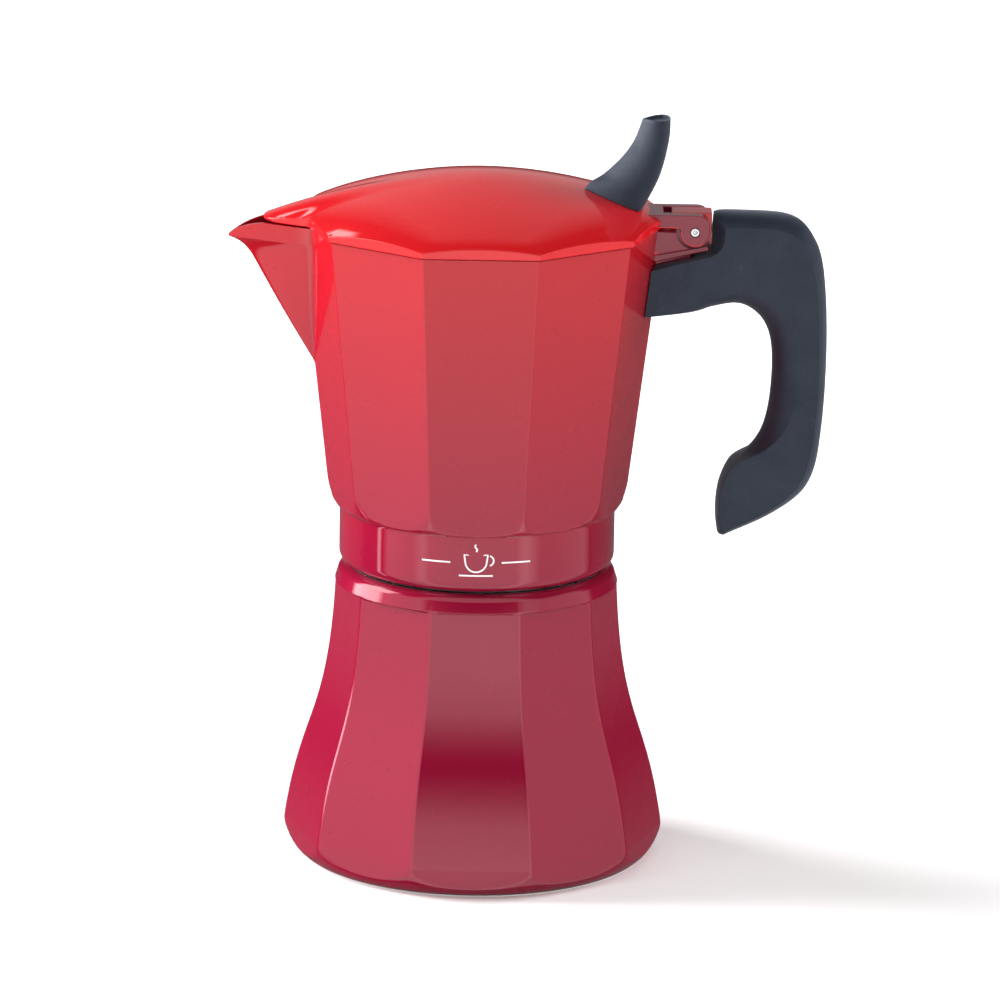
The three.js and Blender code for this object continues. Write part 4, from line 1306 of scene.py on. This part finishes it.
def stroke(points, closed=False):
    """A thin raised line on the front of the collar, through points of [along the collar, height]."""
    line = np.array(points, float)
    before = np.roll(line, 1, axis=0)
    after = np.roll(line, -1, axis=0)
    if not closed:
        before[0] = 2 * line[0] - line[1]
        after[-1] = 2 * line[-1] - line[-2]
    into = (line - before) / np.linalg.norm(line - before, axis=1)[:, None]
    out = (after - line) / np.linalg.norm(after - line, axis=1)[:, None]
    along = into + out
    along /= np.linalg.norm(along, axis=1)[:, None]
    aside = np.column_stack([-along[:, 1], along[:, 0]]) * LINE_WIDTH / 2
    outer, inner = COLLAR_RADIUS + LINE_RISE, COLLAR_RADIUS - LINE_DEPTH
    rows = []
    for left, right in zip(line + aside, line - aside):
        row = []
        for (run, z), radius in ((left, outer), (right, outer), (right, inner), (left, inner)):
            turn = run / COLLAR_RADIUS - math.pi / 2
            row.append((radius * math.cos(turn), radius * math.sin(turn), z))
        rows.append(np.array(row))
    return skin("stroke", rows, joined=closed)


def make_mark():
    """A plain line drawing of a steaming cup between two short rules."""
    z = MARK_Z
    cup = [(-3.2, z + 2.2), *arc((0, z + 0.3), 2.9, 190, 350, 14), (3.2, z + 2.2)]
    steam = [(0.3 * math.sin(step * math.pi / 5), z + 3.1 + 0.2 * step) for step in range(11)]
    rules = [((-4.6, z - 3.6), (4.6, z - 3.6)), ((-15, z), (-7, z)), ((7, z), (15, z))]
    strokes = [
        stroke(spaced(cup, 40), closed=True),
        stroke(arc((3.4, z + 0.6), 1.4, 75, -75, 9)),
        stroke(steam),
        *(stroke(spaced(rule, 8)) for rule in rules),
    ]
    return finish_piece(merge("cup_mark", strokes), "collector", "red_lacquer", [PRINT])


# ---------- camera, light and floor ----------

CAMERA_AIM = Vector((0.0062, 0.0, 0.0996))
CAMERA_ELEVATION = math.radians(14.42)
CAMERA_ROLL = math.radians(0.945)
CAMERA_DISTANCE = 2.5
CAMERA_LENS = 328.5
FLOOR_REACH = 12
SOFTBOX_DISTANCE = 4.0
SOFTBOX_SIDE = 2.6


def make_camera():
    camera = new_object("camera", bpy.data.cameras.new("camera"))
    camera.data.lens = CAMERA_LENS
    camera.data.sensor_width = 36
    camera.data.clip_start = 0.1
    camera.data.clip_end = 50
    back = Vector((0, -math.cos(CAMERA_ELEVATION), math.sin(CAMERA_ELEVATION)))
    look = (-back).to_track_quat("-Z", "Y").to_matrix().to_4x4()
    camera.matrix_world = (
        Matrix.Translation(CAMERA_AIM + back * CAMERA_DISTANCE) @ look @ Matrix.Rotation(CAMERA_ROLL, 4, "Z")
    )
    bpy.context.scene.camera = camera


def make_floor():
    mesh = bpy.data.meshes.new("floor")
    reach = FLOOR_REACH
    mesh.from_pydata([(x, y, 0) for x, y in rectangle(-reach, reach, -reach, reach)], [], [(0, 1, 2, 3)])
    floor = new_object("floor", mesh)
    paper = clouded("floor_paper", (30, 4), (0.93, 0.93, 0.93), (0.95, 0.95, 0.95), Roughness=0.8)
    mesh.materials.append(paper)
    floor.visible_glossy = False


def softbox(name, azimuth, elevation, radiance):
    """An area light aimed at the pot's middle. Azimuth 0 is the camera's side, 90 the handle's."""
    light = bpy.data.lights.new(name, "AREA")
    light.shape = "RECTANGLE"
    light.size = SOFTBOX_SIDE
    light.size_y = SOFTBOX_SIDE
    light.energy = radiance * math.pi * SOFTBOX_SIDE**2
    lamp = new_object(name, light)
    turn, rise = math.radians(azimuth), math.radians(elevation)
    outward = Vector((math.sin(turn) * math.cos(rise), -math.cos(turn) * math.cos(rise), math.sin(rise)))
    lamp.matrix_world = (
        Matrix.Translation(Vector((0, 0, 0.1)) + outward * SOFTBOX_DISTANCE)
        @ outward.to_track_quat("Z", "Y").to_matrix().to_4x4()
    )
    lamp.visible_glossy = False


def maths(tree, operation, *values):
    return add_node(tree, "ShaderNodeMath", enumerate(values), operation=operation).outputs[0]


def patch(tree, azimuth, rise, middle, half_width, low, high, edge, radiance):
    """Light from one part of the room, in degrees. It fades out over the edge on all four sides."""
    offset = maths(tree, "SUBTRACT", azimuth, math.radians(middle))
    aside = maths(tree, "ABSOLUTE", maths(tree, "WRAP", offset, math.pi, -math.pi))
    half_edge = math.radians(edge) / 2
    side = math.radians(half_width)
    bottom, top = math.radians(low), math.radians(high)
    across = spread(tree, aside, side - half_edge, side + half_edge, radiance, 0.0)
    above = spread(tree, rise, bottom - half_edge, bottom + half_edge, 0.0, 1.0)
    below = spread(tree, rise, top - half_edge, top + half_edge, 1.0, 0.0)
    return maths(tree, "MULTIPLY", across, maths(tree, "MULTIPLY", above, below))


ROOM_RADIANCE = 0.02
# Each patch of the studio: azimuth of its middle (0 is the camera's side, 90 the handle's),
# half its width, its lowest and highest elevation, the width of its soft edge and its radiance.
ROOM = {
    "paper_in_front": (0, 50, -95, 13, 12, 1.4),
    "glow_in_front": (0, 40, -14, 2, 10, 0.4),
    "ceiling_in_front": (0, 60, 27, 95, 12, 1.1),
    "left_card": (-63, 19, -95, 40, 6, 1.28),
    "key_card": (-101, 17, 0, 46, 6, 7.5),
    "key_strip": (-89, 1.6, -34, 2, 2, 4.0),
    "right_card": (72, 34, -95, 40, 10, 0.95),
    "wall_behind": (180, 13, -2, 55, 6, 0.33),
    "table_behind": (180, 68, -95, -8, 10, 0.13),
    "window_behind": (-155, 4, 34, 40, 2, 3.6),
}


def make_world():
    """A dim studio room with white paper, cards and walls around the pot."""
    world = bpy.data.worlds.new("studio")
    bpy.context.scene.world = world
    world.use_nodes = True
    tree = world.node_tree
    background = tree.nodes["Background"]
    background.inputs["Color"].default_value = (1, 1, 1, 1)
    direction = add_node(tree, "ShaderNodeTexCoord").outputs["Generated"]
    parts = add_node(tree, "ShaderNodeSeparateXYZ", {"Vector": direction})
    toward_camera = maths(tree, "MULTIPLY", parts.outputs["Y"], -1.0)
    azimuth = maths(tree, "ARCTAN2", parts.outputs["X"], toward_camera)
    rise = maths(tree, "ARCSINE", parts.outputs["Z"])
    glow = ROOM_RADIANCE
    for shape in ROOM.values():
        glow = maths(tree, "ADD", glow, patch(tree, azimuth, rise, *shape))
    tree.links.new(glow, background.inputs["Strength"])


def make_lights():
    """Two big soft lights behind the pot, a strong one at the left and a weak one at the right."""
    softbox("key", -108, 16, 20.0)
    softbox("fill", 108, 16, 10.0)


# ---------- building ----------

def dress_cad_nodes():
    """Materials for the pieces that keep their CAD shape."""
    for node, material in (("valve_seat", BRASS), ("valve_spring", STEEL)):
        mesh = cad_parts[node].data
        mesh.materials.clear()
        mesh.materials.append(material)


make_camera()
make_floor()
make_world()
make_lights()
bpy.context.scene.view_settings.view_transform = "Standard"
make_boiler()
make_collector()
make_lid()
make_knob()
make_handle()
make_induction_disc()
make_valve()
make_brewing_pieces()
make_hinge_rivet()
make_handle_fixings()
make_knob_fixings()
make_mark()
dress_cad_nodes()
